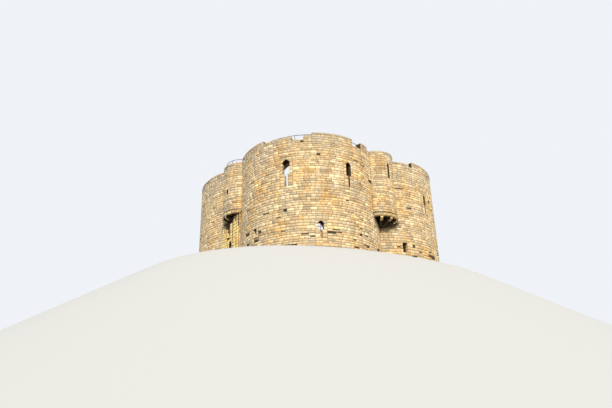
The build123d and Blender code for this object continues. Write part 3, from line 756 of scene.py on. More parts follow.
def iron_material(name):
    """Painted iron with rust in its worn patches."""
    tree, weather = weathered_material(name)
    relief = weather["Grain"]
    colour = mixed(tree, ramp(tree, relief, RUST_PATCHES), PAINT, RUST)
    finish_material(tree, colour, relief, roughness=0.5, specular=0.5, strength=0.2, distance=0.002)


# Walls

WINDOW_MARGIN, COURT_MARGIN, LOOP_MARGIN = 0.24, 0.26, 0.22  # width of the surrounds
COURT_ROW = 0.36
COURT_SWELL, BACK_SWELL = 0.007, 0.006
BACK_INSET = 1.0  # degrees by which the back of a parapet stops short of its turrets
TOP_GAP = 0.02
COPING_SEAT = 0.03
WALL_GRIME, BACK_GRIME = 0.12, 0.2
DRAIN = (0.10, 0.38, WALK_LEVEL + 0.21, WALK_LEVEL + 0.43)  # stone left out of the parapets: arc and level

# Slots of lost stones: ranges of azimuth, then count and ranges of level, half length and half height
SLOT_AZIMUTHS = (-72, 72)
FOOT_SLOTS = (20, (0.25, 2.6), (0.15, 0.55), (0.05, 0.13))
HIGH_SLOTS = (9, (2.6, 8.8), (0.1, 0.3), (0.05, 0.12))
SLOT_LOSS = 0.85
LOSS_TOP, LOSS_FALL, LOSS_LEAST = 2.9, 2.2, 0.06
HALF_COURSE = 0.1

# Painted shadow under a turret: how far down it reaches, how far it is full, and its sideways edge
RECESS_PAINTED_SHADOW, TURRET_PAINTED_SHADOW = (2.3, 1.6), (1.5, 0.6)
PAINTED_SHADOW_EDGE, PAINTED_SHADOW_START = 0.25, 0.6
DARKEST = 0.93


def lost_stones(rng, radius):
    """Share of missing stones on an outer face: a few anywhere near the foot, and most in some low slots."""
    share = settings().missing_share
    slots = []
    for count, *ranges in (FOOT_SLOTS, HIGH_SLOTS):
        slots += [[rng.uniform(*span) for span in (SLOT_AZIMUTHS, *ranges)] for _ in range(count)]

    def lost(u, low):
        gone = np.full(len(u), share * np.clip((LOSS_TOP - low) / LOSS_FALL, LOSS_LEAST, 1))
        for azimuth, level, half, tall in slots:
            near = np.abs(u - math.radians(azimuth) * radius) < half
            level_near = abs(low + HALF_COURSE - level) < tall
            gone = np.where(near & level_near, SLOT_LOSS, gone)
        return gone

    return lost


def under_turrets(lobe, edge):
    """Painted shadow on the stones of a lobe under its neighbouring turrets: nearly black close under the
    screen, fading downwards and outwards."""

    def painted_shade_and_wear(u, low):
        painted_shade = np.zeros(len(u))
        for side, turret in zip((-1, 1), NEIGHBOURS[lobe]):
            foot = screen_foot(turret)
            depth, strong = RECESS_PAINTED_SHADOW if turret == RECESS_TURRET else TURRET_PAINTED_SHADOW
            inside = np.clip((side * u - edge) / PAINTED_SHADOW_EDGE + PAINTED_SHADOW_START, 0, 1)
            down = np.clip(1.0 - (foot - strong - low) / (depth - strong), 0.0, 1.0) * (low < foot)
            painted_shade = np.maximum(painted_shade, DARKEST * inside * down)
        return painted_shade

    return painted_shade_and_wear


def screen_foot(turret):
    """Level of the foot of a turret's screen."""
    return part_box(f"{turret}_turret_screen")[0][2]


def parapet_runs(lobe, radius, reach):
    """Runs of one lobe's parapet on a cylinder, out to an azimuth: start and end as arc, rise, raggedness."""
    edge = math.radians(reach) * radius
    start = -edge
    for end, rise, ragged in RUNS[lobe]:
        finish = min(math.radians(end) * radius, edge)
        yield start, finish, rise, ragged
        start = finish


def face_lobe(lobe, number):
    """Outer ashlar of one lobe, from its foot to the top of its parapet."""
    look = settings()
    facing = Facing(number)
    rng = facing.rng
    corner = math.radians(CORNER_EDGE) * LOBE_RADIUS
    edge = math.radians(TURRET_EDGE) * LOBE_RADIUS
    stones = Stones(rng)
    levels = course_levels(0.0, WALK_LEVEL, look.course_height, rng)
    holes = [OPENINGS[name] for name in LOBE_OPENINGS[lobe]]
    zones = [stones.surround(hole, LOBE_RADIUS, levels, WINDOW_MARGIN) for hole in holes]
    for side, turret in zip((-1, 1), NEIGHBOURS[lobe]):
        sides = sorted((side * edge, side * corner))
        zones.append((*sides, screen_foot(turret), WALK_LEVEL))
    lost = lost_stones(rng, LOBE_RADIUS)
    # Painted shadow under the turrets' corbels
    painted_shade_and_wear = under_turrets(lobe, edge)
    stones.courses(levels, -corner, corner, look.stone_length, zones, lost=lost, painted_shade_and_wear=painted_shade_and_wear)
    for start, finish, rise, _ in parapet_runs(lobe, LOBE_RADIUS, TURRET_EDGE):
        rows = course_levels(WALK_LEVEL, WALK_LEVEL + rise - COPING_SEAT, look.course_height, rng)
        stones.courses(rows, start, finish, look.stone_length, [DRAIN], lost=lost)
    facing.lay(stones, upright_wall(lobe_centre(lobe), *LOBES[lobe], LOBE_RADIUS))
    facing.piece(f"{lobe}_lobe_ashlar")


def face_court(lobe, number):
    """Inner ashlar of one lobe's round room and of the two piers beside it, and the back of its parapet."""
    look = settings()
    facing = Facing(number)
    rng = facing.rng
    heading, turn = LOBES[lobe]
    centre = lobe_centre(lobe)
    sweep = math.acos(-COURT_HALF / INNER_RADIUS)
    reach = sweep * INNER_RADIUS
    room = Stones(rng)
    levels = course_levels(COURT_LEVEL, WALK_LEVEL - TOP_GAP, look.inner_course, rng)
    mouths = [mouth_opening(name) for name in LOBE_OPENINGS[lobe]]
    zones = [room.surround(mouth, INNER_RADIUS, levels, COURT_MARGIN, COURT_ROW) for mouth in mouths]
    room.courses(levels, -reach, reach, look.inner_length, zones, grime=WALL_GRIME)
    facing.lay(room, upright_wall(centre, heading, turn, INNER_RADIUS, outward=-1), rough=COURT_SWELL)
    out, across = directions(heading)
    pier_start = INNER_RADIUS * math.sin(sweep)
    for side in (-1, 1):
        pier = flat_face(out * COURT_HALF, side * across, UP, -out)
        stretch = (pier_start, COURT_HALF, look.inner_length)
        facing.courses(pier, levels, *stretch, rough=COURT_SWELL, grime=WALL_GRIME)
    back = Stones(rng)
    for start, finish, rise, _ in parapet_runs(lobe, PARAPET_INNER, TURRET_EDGE - BACK_INSET):
        rows = course_levels(WALK_LEVEL, WALK_LEVEL + rise - COPING_SEAT, look.inner_course, rng)
        back.courses(rows, start, finish, look.inner_length, grime=BACK_GRIME)
    facing.lay(back, upright_wall(centre, heading, turn, PARAPET_INNER, outward=-1), rough=BACK_SWELL)
    facing.piece(f"{lobe}_lobe_inner_ashlar")


COPING_JOINT, COPING_BED = 0.006, 0.10
COPING_LENGTH = 0.48
COPING_MEAN = 0.02
RAGGED_RISE, RAGGED_SPREAD = 6, 4  # parts of a run's raggedness: one is added to the mean, one is the spread
RAGGED_SWELL = 0.2
COPING_LEAST, COPING_MOST = 0.012, 0.10
COPING_LIP = 0.045
COPING_LOOKS = (0.42, 0.25)  # grime, and a darker tone for the weathered coping


def lay_coping(facing, surface, start, end, length, inner, outer, heights, rough):
    """Coping stones along a wall's top between two radii. heights are their mean, spread and most."""
    mean, spread, most = heights
    left, right = cut_lengths(start, end, length, facing.rng)
    depth = np.clip(facing.rng.normal(mean, spread, len(left)), COPING_LEAST, most)
    stones = Stones(facing.rng)
    stones.add(left + COPING_JOINT, right - COPING_JOINT, inner, outer, depth, *COPING_LOOKS)
    facing.lay(stones, surface, bed=COPING_BED, rough=rough)


def cap_lobe(lobe, number):
    """Coping stones along the parapet runs of one lobe, more ragged on the worn runs."""
    facing = Facing(number)
    inner, outer = PARAPET_INNER - COPING_LIP, LOBE_RADIUS + COPING_LIP
    for start, finish, rise, ragged in parapet_runs(lobe, LOBE_RADIUS, TURRET_EDGE):
        top = level_ring(lobe_centre(lobe), *LOBES[lobe], LOBE_RADIUS, WALK_LEVEL + rise)
        heights = (COPING_MEAN + ragged / RAGGED_RISE, ragged / RAGGED_SPREAD, COPING_MOST)
        swell = RAGGED_SWELL * ragged
        lay_coping(facing, top, start, finish, COPING_LENGTH, inner, outer, heights, swell)
    facing.piece(f"{lobe}_lobe_coping")


RING_GROOVE = 0.06  # shadow line left between a corbel ring and the first course above it
SCREEN_STONE = 0.38
TURRET_COPING = 0.42
TURRET_HEIGHTS = (0.045, 0.025, 0.12)
TURRET_SWELL = 0.012
TURRET_INNER_LIP = 0.04
TURRET_LAP = 13.0  # degrees by which a turret's coping runs on over the lobes


def face_turret(turret, number):
    """Ashlar of one turret's screen, outside and inside, and its coping."""
    look = settings()
    facing = Facing(number)
    rng = facing.rng
    heading, centre = TURRETS[turret], turret_centre(turret)
    outside = Stones(rng)
    top = TURRET_TOP - TOP_GAP
    levels = course_levels(screen_foot(turret) + RING_GROOVE, top, look.course_height, rng)
    reach = math.radians(SCREEN_REACH) * TURRET_RADIUS
    zone = outside.surround(TURRET_LOOPS[turret], TURRET_RADIUS, levels, LOOP_MARGIN)
    outside.courses(levels, -reach, reach, look.stone_length, [zone])
    facing.lay(outside, upright_wall(centre, heading, 1, TURRET_RADIUS))
    rows = course_levels(WALK_LEVEL, top, look.inner_course, rng)
    sweep = math.radians(SCREEN_REACH) * SCREEN_INNER
    inside = upright_wall(centre, heading, 1, SCREEN_INNER, outward=-1)
    facing.courses(inside, rows, -sweep, sweep, SCREEN_STONE, grime=BACK_GRIME)
    arc = math.radians(SCREEN_REACH + TURRET_LAP) * TURRET_RADIUS
    inner, outer = SCREEN_INNER - TURRET_INNER_LIP, TURRET_RADIUS + COPING_LIP
    ring = level_ring(centre, heading, 1, TURRET_RADIUS, TURRET_TOP)
    lay_coping(facing, ring, -arc, arc, TURRET_COPING, inner, outer, TURRET_HEIGHTS, TURRET_SWELL)
    facing.piece(f"{turret}_turret_ashlar")


# Embrasures and throats

DOOR_REVEAL = 0.03
DOOR_FOOT = COURT_LEVEL + 0.02
SPLAY_START, JAMB_GAP, SOFFIT_GAP = 0.01, 0.02, 0.03  # where stones start, and how far short they stop
SPLAY_LENGTH = 0.5
JAMB_ROUNDS = 6
JAMB_ROW, SILL_ROW, VAULT_ROW = 0.29, 0.4, 0.24
JAMB_GRIME, SILL_GRIME = 0.15, 0.2
DEEPEST, DAYLIGHT, LIGHTEST = 0.97, 0.28, 0.2  # shade at a splay's back, its loss a metre, and its least


def splay(name):
    """Splay of an embrasure: half widths at its back and its mouth, shift, fall of sill, rise of head."""
    half = OPENINGS[name].light / 2
    if name == "doorway":
        return half, half, 0.0, 0.0, 0.0
    if name in MOUTHS:
        width, drop, rise, shift = MOUTHS[name]
        return half + EMBRASURE_CHECK, width / 2, shift, drop, rise
    return half, half + HOLE_SPLAY, 0.0, HOLE_SPLAY, HOLE_SPLAY


def jamb_end(name, side):
    """Where a splay's jamb meets the inner face: s = shift t + side (back + (mouth - back) t) across, and t,
    the way from throat to mouth, found by putting s back into the circle of the inner face."""
    back, mouth, shift, _, _ = splay(name)
    across = side * mouth
    for _ in range(JAMB_ROUNDS):
        share = min(1.0, (LOBE_RADIUS - THROAT - math.sqrt(INNER_RADIUS**2 - across**2)) / SPLAY_DEPTH)
        across = shift * share + side * (back + (mouth - back) * share)
    return across, share


def mouth_opening(name):
    """Inner mouth of an embrasure as an opening on the inner face."""
    hole = OPENINGS[name]
    _, _, _, drop, rise = splay(name)
    bearings = [math.asin(jamb_end(name, side)[0] / INNER_RADIUS) for side in (-1, 1)]
    first, last = (math.radians(hole.azimuth) + bearing for bearing in bearings)
    share = (LOBE_RADIUS - THROAT - INNER_RADIUS) / SPLAY_DEPTH
    sill = hole.sill - drop * share
    light = (last - first) * INNER_RADIUS
    crown = hole.springing + rise * share + (light / 2 if hole.arched else 0.0)
    return Opening(math.degrees((first + last) / 2), light, light, sill, sill, crown, hole.arched)


def deep_shade(u, low):
    """Stones of a splay are darkest at its back, where little light comes."""
    return np.clip(DEEPEST - DAYLIGHT * u, LIGHTEST, DEEPEST)


def line_splay(facing, lobe, name):
    """Ashlar of one embrasure's splay: two jambs, sill, and the soffit, a half round or a flat lintel. On
    each, u runs from the back towards the court, and every size goes from its back value to its mouth value
    in proportion to u."""
    rng = facing.rng
    hole = OPENINGS[name]
    heading, turn = LOBES[lobe]
    door = name == "doorway"
    back, mouth, shift, drop, rise = splay(name)
    start = LOBE_RADIUS - (DOOR_REVEAL if door else THROAT)
    out, across = directions(heading + turn * hole.azimuth)
    origin = lobe_centre(lobe) + start * out
    foot = max(hole.sill, DOOR_FOOT)
    tall = hole.springing - foot

    def spot(u, sideways, level):
        aside = shift * u / SPLAY_DEPTH + sideways
        return origin - u[..., None] * out + aside[..., None] * (turn * across) + level[..., None] * UP

    def half(u):
        return back + (mouth - back) * u / SPLAY_DEPTH

    def floor_level(u):
        return foot - drop * u / SPLAY_DEPTH

    def head_level(u):
        return hole.springing + rise * u / SPLAY_DEPTH

    def jamb(side):
        def place(u, v, h):
            level = floor_level(u) + v / tall * (head_level(u) - floor_level(u))
            return spot(u, side * (half(u) - h), level)

        return place

    def sill(u, v, h):
        return spot(u, v * half(u) / back, floor_level(u) + h)

    def lintel(u, v, h):
        return spot(u, v * half(u) / back, head_level(u) - h)

    def vault(u, v, h):
        reach = half(u) - h
        return spot(u, reach * np.cos(v / back), head_level(u) + reach * np.sin(v / back))

    looks = {"grime": JAMB_GRIME, "painted_shade_and_wear": deep_shade}
    for side in (-1, 1):
        end = start - math.sqrt(INNER_RADIUS**2 - back**2) if door else jamb_end(name, side)[1] * SPLAY_DEPTH
        rows = course_levels(0.0, tall, JAMB_ROW, rng)
        facing.courses(jamb(side), rows, SPLAY_START, end - JAMB_GAP, SPLAY_LENGTH, **looks)
    end = start - INNER_RADIUS - SOFFIT_GAP
    if not door:
        rows = course_levels(-back, back, SILL_ROW, rng)
        facing.courses(sill, rows, SPLAY_START, end, SPLAY_LENGTH, grime=SILL_GRIME, painted_shade_and_wear=deep_shade)
    if hole.arched:
        rows = course_levels(0.0, math.pi * back, VAULT_ROW, rng)
    else:
        rows = course_levels(-back, back, SILL_ROW, rng)
    facing.courses(vault if hole.arched else lintel, rows, SPLAY_START, end, SPLAY_LENGTH, **looks)


def line_splays(lobe, number):
    """Ashlar of every embrasure of one lobe."""
    facing = Facing(number)
    for name in LOBE_OPENINGS[lobe]:
        line_splay(facing, lobe, name)
    facing.piece(f"{lobe}_splay_lining")


LINING_ROW = 0.28
LINING_JOINT = 0.004
LINING_DEPTH = 0.006
LINING_INSET = 0.02
LINING_START, SILL_GAP = 0.005, 0.01
LEAST_THROAT = 0.05
SMOOTH = 0.002  # roughness of dressed blocks
LINING_SHADES = {"narrow_window": 0.85, "side_window": 0.85}
OPEN_THROAT = -0.15  # painted light on the other throats: their tone is lightened a little


def line_throats(lobe, number):
    """Dressed lining of each window's throat: both jambs of the light and of its slit, and the sill."""
    facing = Facing(number)
    heading, turn = LOBES[lobe]
    for name in LOBE_OPENINGS[lobe]:
        if name == "doorway":
            continue
        hole = OPENINGS[name]
        out, across = directions(heading + turn * hole.azimuth)
        # Painted shade makes the narrow throats dark, painted light lightens the others
        painted_shade_and_wear = LINING_SHADES.get(name, OPEN_THROAT)
        face = lobe_centre(lobe) + out * (LOBE_RADIUS - LINING_INSET)
        near, far = LINING_START, THROAT - LINING_INSET
        slit = (hole.slit, hole.sill, hole.shoulder)
        light = (hole.light, hole.shoulder, hole.springing)
        for width, low, high in (slit, light):
            if high - low < LEAST_THROAT:
                continue
            rows = course_levels(low, high, LINING_ROW, facing.rng)
            for side in (-1, 1):
                jamb = Stones(facing.rng)
                levels = (rows[:-1] + LINING_JOINT, rows[1:] - LINING_JOINT)
                jamb.add(near, far, *levels, LINING_DEPTH, 0.0, painted_shade_and_wear)
                edge = flat_face(face + side * across * width / 2, -out, UP, -side * across)
                facing.lay(jamb, edge, rough=SMOOTH)
        sill = Stones(facing.rng)
        half = hole.slit / 2 - SILL_GAP
        sill.add(-half, half, near, far, LINING_DEPTH)
        facing.lay(sill, flat_face(face + hole.sill * UP, across, -out, UP), rough=SMOOTH)
    facing.piece(f"{lobe}_throat_lining")


# Paving: mean depth of a row and mean length of a flag, and the gaps at the walls

WALK_ROW, WALK_FLAG = 0.46, 0.62
TOP_ROW, TOP_FLAG = 0.42, 0.6
COURT_FLAG_ROW, COURT_FLAG = 0.52, 0.7
WALK_START, TOP_START = 0.04, 0.06
WALL_GAP, ROOM_GAP = 0.02, 0.05
RING_END_GAP, TOP_END_GAP = 0.01, 0.015


def walk_edge(radius):
    """Half sweep of a ring of the wall-walk, as arc at the room's radius: to the diagonal, at azimuth
    45 + asin(d / (radius sqrt 2)) with d the lobe's distance, or to the pier's face, at
    acos(-court half / radius)."""
    near = np.minimum(1.0, LOBE_DISTANCE / (radius * math.sqrt(2.0)))
    pier = np.arccos(np.maximum(-1.0, -COURT_HALF / radius))
    sweep = np.where(near < 1.0, math.radians(45.0) + np.arcsin(near), pier)
    return INNER_RADIUS * sweep - RING_END_GAP


def pave_walk(lobe, number):
    """Flags of one lobe's wall-walk, in rings that stop at the neighbouring lobes."""
    facing = Facing(number)
    rings = course_levels(INNER_RADIUS + WALK_START, PARAPET_INNER - WALL_GAP, WALK_ROW, facing.rng)
    stones = Stones(facing.rng)
    for low, high in zip(rings[:-1], rings[1:]):
        scale = INNER_RADIUS / high
        sizes = (WALK_FLAG * scale, FLAG_JOINT * scale)
        stones.row(low, high, lambda v: -walk_edge(v), walk_edge, *sizes)
    facing.lay(stones, level_ring(lobe_centre(lobe), *LOBES[lobe], INNER_RADIUS, WALK_LEVEL))
    facing.piece(f"{lobe}_walk_flags", "flags", "paving")


def turret_edge(reach):
    """Half width of a turret's top at a distance out from its centre: to the screen's inner face, or to the
    rings of the two lobes, whose centres lie d / sqrt 2 to each side and as far along the diagonal."""
    aside = LOBE_DISTANCE / math.sqrt(2.0)
    along = reach + TURRET_DISTANCE - aside
    screen = np.sqrt(np.maximum(0.0, SCREEN_INNER**2 - reach**2))
    lobes = aside - np.sqrt(np.maximum(0.0, PARAPET_INNER**2 - along**2))
    return np.maximum(0.0, np.minimum(screen, lobes) - TOP_END_GAP)


def pave_turret(turret, number):
    """Flags of one turret's top, in rows across its diagonal."""
    facing = Facing(number)
    out, across = directions(TURRETS[turret])
    first = (LOBE_DISTANCE + math.sqrt(2 * PARAPET_INNER**2 - LOBE_DISTANCE**2)) / math.sqrt(2.0)
    rows = course_levels(first - TURRET_DISTANCE + TOP_START, SCREEN_INNER - WALL_GAP, TOP_ROW, facing.rng)
    stones = Stones(facing.rng)
    for low, high in zip(rows[:-1], rows[1:]):
        stones.row(low, high, lambda v: -turret_edge(v), turret_edge, TOP_FLAG)
    origin = turret_centre(turret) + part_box("turret_walk_slabs")[1][2] * UP
    facing.lay(stones, flat_face(origin, across, out, UP))
    facing.piece(f"{turret}_turret_flags", "flags", "paving")


def half_chord(distance):
    """Half length of a chord of a round room at a distance from its centre."""
    return np.sqrt(np.maximum(0.0, INNER_RADIUS**2 - distance**2))


def pave_court(number):
    """Flags of the court in rows along X, whose ends follow the round rooms."""
    facing = Facing(number)
    stones = Stones(facing.rng)
    far = LOBE_DISTANCE
    ends = [(lambda y: -half_chord(np.abs(y) - far), lambda y: half_chord(np.abs(y) - far))]
    sides = [
        (lambda y: -far - half_chord(y), lambda y: -far + half_chord(y)),
        (lambda y: far - half_chord(y), lambda y: far + half_chord(y)),
    ]
    whole = [(sides[0][0], sides[1][1])]
    reach = LOBE_DISTANCE + INNER_RADIUS - ROOM_GAP
    cuts = (-reach, -INNER_RADIUS, -COURT_HALF, COURT_HALF, INNER_RADIUS, reach)
    for foot, top, spans in zip(cuts[:-1], cuts[1:], (ends, ends + sides, whole, ends + sides, ends)):
        rows = course_levels(foot, top, COURT_FLAG_ROW, facing.rng)
        for low, high in zip(rows[:-1], rows[1:]):
            for left_edge, right_edge in spans:
                stones.row(low, high, left_edge, right_edge, COURT_FLAG)
    east, north, _ = np.eye(3)
    facing.lay(stones, flat_face(COURT_LEVEL * UP, east, north, UP))
    facing.piece("court_flags", "flags", "paving")


# Recess under the front left turret, on its diagonal: offsets across it, positive towards the front lobe

RECESS_DEPTH = 0.96
WIDE_SHAFT = (0.19, 1.24)
WIDE_SIDES = (0.15, 1.26)
# The dark core shows in this gap as a painted shadow line
SHAFT_GAP = (1.11, 1.30, 4.3, 6.0)  # the shaft's top stops short of the lobe
NARROW_SHAFT = (-0.34, 0.11)
RECESS_HOLE = (-0.39, 0.05, 2.63, 2.98)
LOBE_MEETS = 1.75
BROKEN_FIT = 0.04
BROKEN_TOP = (
    (-1.78, 4.86),
    (-1.53, 4.78),
    (-0.96, 4.55),
    (-0.73, 4.30),
    (-0.70, 3.42),
    (-0.46, 3.36),
    (-0.39, 3.11),
    (0.15, 3.11),
)
BROKEN_REACH = 4.9
SHAFT_COURSE = 0.27
WIDE_STONE, NARROW_STONE, FLANK_STONE = 0.55, 0.45, 0.44
FLANK_DEPTH = 0.45
SUNLIT = -0.50  # painted light: a lighter tone, so that these stones look as sunlit as the front wall


def face_recess(number):
    """Ashlar of the two shafts and of the broken wall, whose courses stop along the wall's broken top."""
    look = settings()
    facing = Facing(number)
    rng = facing.rng
    out, across = directions(TURRETS[RECESS_TURRET])
    origin = out * (TURRET_DISTANCE + RECESS_DEPTH)
    wide_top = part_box("front_left_wide_shaft")[1][2]
    narrow_low, narrow_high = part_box("front_left_narrow_shaft")
    tops_u, tops_z = zip(*BROKEN_TOP)

    def limit(u):
        return np.interp(u, tops_u, tops_z)

    stones = Stones(rng)
    rows = course_levels(0.0, wide_top, SHAFT_COURSE, rng)
    # Painted light on the shafts and the broken wall
    stones.courses(rows, *WIDE_SHAFT, WIDE_STONE, [SHAFT_GAP], painted_shade_and_wear=SUNLIT)
    rows = course_levels(narrow_low[2], narrow_high[2], SHAFT_COURSE, rng)
    stones.courses(rows, *NARROW_SHAFT, NARROW_STONE, painted_shade_and_wear=SUNLIT)
    rows = course_levels(0.0, BROKEN_REACH, look.course_height, rng)
    broken = (-LOBE_MEETS, WIDE_SHAFT[0] - BROKEN_FIT, look.stone_length)
    stones.courses(rows, *broken, [RECESS_HOLE], limit, painted_shade_and_wear=SUNLIT)
    facing.lay(stones, flat_face(origin, across, UP, out))
    for offset, side, foot in ((WIDE_SIDES[0], -1, narrow_high[2]), (WIDE_SIDES[1], 1, 0.0)):
        flank = flat_face(origin + across * offset, -out, UP, side * across)
        rows = course_levels(foot, wide_top, SHAFT_COURSE, rng)
        facing.courses(flank, rows, SPLAY_START, FLANK_DEPTH, FLANK_STONE)
    facing.piece("front_left_recess_ashlar", "shaft_ashlar")


# Corbel tables

BRACKETS = (-35.0, 0.0, 35.0)
LEFT_BRACKETS = (-35.0, -5.0)
BRACKET_HALF = 0.12
BRACKET_CURVE = 3.2
CURVE_CENTRE = (0.059, 2.649)  # of a bracket's curved underside: radius, and level above the ring's foot
RING_HEIGHT = 0.30
RING_FOOT_INSET = 0.11
RING_NOSE, RING_DROP = 0.08, 0.06  # how far a moulded ring stands out, and its top's fall from the screen
BAND_HEIGHT = 0.07
MOULD_SWELL = 0.022
RING_END = 1.0  # degrees by which a ring's blocks stop short of the screen's ends
BLOCK_LENGTH = 0.5
BLOCK_JOINT = 0.005
# Lighter tone of the corbel blocks: paler dressed stone, and painted light on the faces turned down
PALE_AND_PAINTED_LIGHT = -0.35

# Blocks of a corbel table: low and high end of each, and its depth
BAND_BLOCK = (-0.075, -0.004, 0.012)
MOULD_BLOCK = (0.01, 0.9, 0.03)
NOSE_BLOCK = (-0.155, -0.01, 0.012)
UNDER_BLOCK = (-0.32, -0.01, 0.010)


def bracket_curve(centre, out, across, ring_foot):
    """Underside of a bracket: u across it, v the radius from the turret's centre, on an arc whose level is
    the arc centre's less the root of curve^2 - (v - centre's radius)^2, and h downwards."""

    def place(u, v, h):
        fall = np.sqrt(BRACKET_CURVE**2 - (v - CURVE_CENTRE[0]) ** 2)
        level = ring_foot + CURVE_CENTRE[1] - fall - h
        return centre + v[..., None] * out + u[..., None] * across + level[..., None] * UP

    return place


def ring_blocks(turret, number):
    """Moulded blocks of one corbel table, and facings on the nose and underside of each bracket, all given a
    lighter tone: paler dressed stone, and painted light on the faces turned down.
    """
    facing = Facing(number)
    rng = facing.rng
    heading, centre = TURRETS[turret], turret_centre(turret)
    plain = turret == RECESS_TURRET
    under = screen_foot(turret)
    ring_foot = under - RING_HEIGHT
    nose = TURRET_RADIUS + (0.0 if plain else RING_NOSE)
    top = under - (0.0 if plain else RING_DROP)
    foot_radius = TURRET_RADIUS - RING_FOOT_INSET
    rise = top - BAND_HEIGHT - ring_foot
    slope = math.atan2(nose - foot_radius, rise)
    arc = math.radians(SCREEN_REACH - RING_END) * nose
    left, right = cut_lengths(-arc, arc, BLOCK_LENGTH, rng)
    sides = (left + BLOCK_JOINT, right - BLOCK_JOINT)

    def moulded(u, v, h):
        out = (h + MOULD_SWELL * np.sin(math.pi * v)) * math.cos(slope)
        reach = foot_radius + (nose - foot_radius) * v + out
        level = ring_foot + rise * v - h * math.sin(slope)
        return around(centre, math.radians(heading) + u / nose, reach, level)

    def lay_block(place, sides, base, block):
        low, high, depth = block
        stones = Stones(rng)
        stones.add(*sides, base + low, base + high, depth, 0.0, PALE_AND_PAINTED_LIGHT)
        facing.lay(stones, place, rough=SMOOTH)

    lay_block(upright_wall(centre, heading, 1, nose), sides, top, BAND_BLOCK)
    lay_block(moulded, sides, 0.0, MOULD_BLOCK)
    bracket = (-BRACKET_HALF, BRACKET_HALF)
    for azimuth in LEFT_BRACKETS if plain else BRACKETS:
        out, across = directions(heading + azimuth)
        face = flat_face(centre + out * foot_radius, across, UP, out)
        lay_block(face, bracket, ring_foot, NOSE_BLOCK)
        lay_block(bracket_curve(centre, out, across, ring_foot), bracket, foot_radius, UNDER_BLOCK)
    facing.piece(f"{turret}_corbel_blocks", "dressed")


# Iron fixings of the railings: radius and height of each turned shape's rings, from its middle outwards

FLANGE = ((0.0001, 0.012), (0.062, 0.012), (0.066, 0.009), (0.066, 0.0))
COLLAR = ((0.022, 0.05), (0.031, 0.046), (0.034, 0.012))
BOLT = ((0.0001, 0.022), (0.007, 0.022), (0.009, 0.019), (0.009, 0.010))
BOLT_CIRCLE = 0.048
BOLT_ANGLES = (45.0, 135.0, 225.0, 315.0)
RAIL_RADIUS = PARAPET_INNER - 0.07
RAIL_POSTS = ((-31.0, 9.0, 4), (43.0, 56.0, 2))  # on the front lobe: azimuths of first and last post, count
POST_FOOT = WALK_LEVEL + 0.02
TURRET_POSTS = (-60.0, -20.0, 20.0, 60.0)
TURRET_POST_FOOT = TURRET_TOP + 0.03
TURRET_RAIL_RADIUS = (TURRET_RADIUS + SCREEN_INNER) / 2
SIDES = 20


def ring_quads(rows, columns):
    """Quads between rings of points, closed round. They face up where the rings run outwards, and outwards
    where the rings run down."""
    i, j = np.meshgrid(np.arange(rows - 1), np.arange(columns), indexing="ij")
    k = (j + 1) % columns
    corners = [i * columns + j, (i + 1) * columns + j, (i + 1) * columns + k, i * columns + k]
    return np.stack(corners, axis=-1).reshape(-1, 4)


def turned(profile, place):
    """Points and quads of a turned shape: rings of (radius, height) about an upright axis at a place."""
    angle = np.linspace(0.0, 2 * math.pi, SIDES, endpoint=False)
    rings = np.array(profile)
    points = around(place, angle, rings[:, :1], place[2] + rings[:, 1:])
    return points.reshape(-1, 3), ring_quads(len(rings), SIDES)


def rail_fixings():
    """Flange, collar and four bolts at the foot of every railing post."""
    heading, turn = LOBES["front"]
    feet = [
        polar(lobe_centre("front"), RAIL_RADIUS, heading + turn * azimuth, POST_FOOT)
        for first, last, count in RAIL_POSTS
        for azimuth in np.linspace(first, last, count)
    ]
    middle = turret_centre(RECESS_TURRET)
    for azimuth in TURRET_POSTS:
        bearing = TURRETS[RECESS_TURRET] + azimuth
        feet.append(polar(middle, TURRET_RAIL_RADIUS, bearing, TURRET_POST_FOOT))
    points, faces, total = [], [], 0
    for foot in feet:
        shapes = [turned(FLANGE, foot), turned(COLLAR, foot)]
        shapes += [turned(BOLT, polar(foot, BOLT_CIRCLE, angle, foot[2])) for angle in BOLT_ANGLES]
        for made, quads in shapes:
            points.append(made)
            faces.append(quads + total)
            total += len(made)
    iron = bpy.data.materials["iron"]
    build_mesh("rail_fixings", np.concatenate(points), np.concatenate(faces), iron, "railing", smooth=False)


# Operators, and the number from which each takes the random draws of its pieces

LOBE_DRAWS, COURT_DRAWS, TURRET_DRAWS, CORBEL_DRAWS, COPING_DRAWS = 0, 10, 20, 25, 30
FLAG_DRAWS, WALK_DRAWS, TOP_DRAWS, THROAT_DRAWS, RECESS_DRAWS, SPLAY_DRAWS = 40, 41, 46, 50, 60, 70


class KEEP_OT_materials(bpy.types.Operator):
    """Makes the finishes and gives them to the solid parts"""

    bl_idname = "keep.materials"
    bl_label = "Finishes"

    def execute(self, context):
        look = settings()
        for name, hue in HUES.items():
            stone_material(name, look, hue)
        core_and_shade_material("core", tuple(look.core))
        iron_material("iron")
        # Every solid part takes the dark core colour, which also stands in as painted shade in unlined
        # reveals and recesses
        for name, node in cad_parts.items():
            finish = "iron" if "railing" in name or name == "loop_window_frames" else "core"
            node.data.materials.clear()
            node.data.materials.append(bpy.data.materials[finish])
        return {"FINISHED"}


class KEEP_OT_lobes(bpy.types.Operator):
    """Lays the outer ashlar of the four lobes"""

    bl_idname = "keep.lobes"
    bl_label = "Lobe facings"

    def execute(self, context):
        for number, lobe in enumerate(LOBES):
            face_lobe(lobe, LOBE_DRAWS + number)
        return {"FINISHED"}


class KEEP_OT_court(bpy.types.Operator):
    """Lays the ashlar round the court and behind the parapets"""

    bl_idname = "keep.court"
    bl_label = "Court facings"

    def execute(self, context):
        for number, lobe in enumerate(LOBES):
            face_court(lobe, COURT_DRAWS + number)
        return {"FINISHED"}


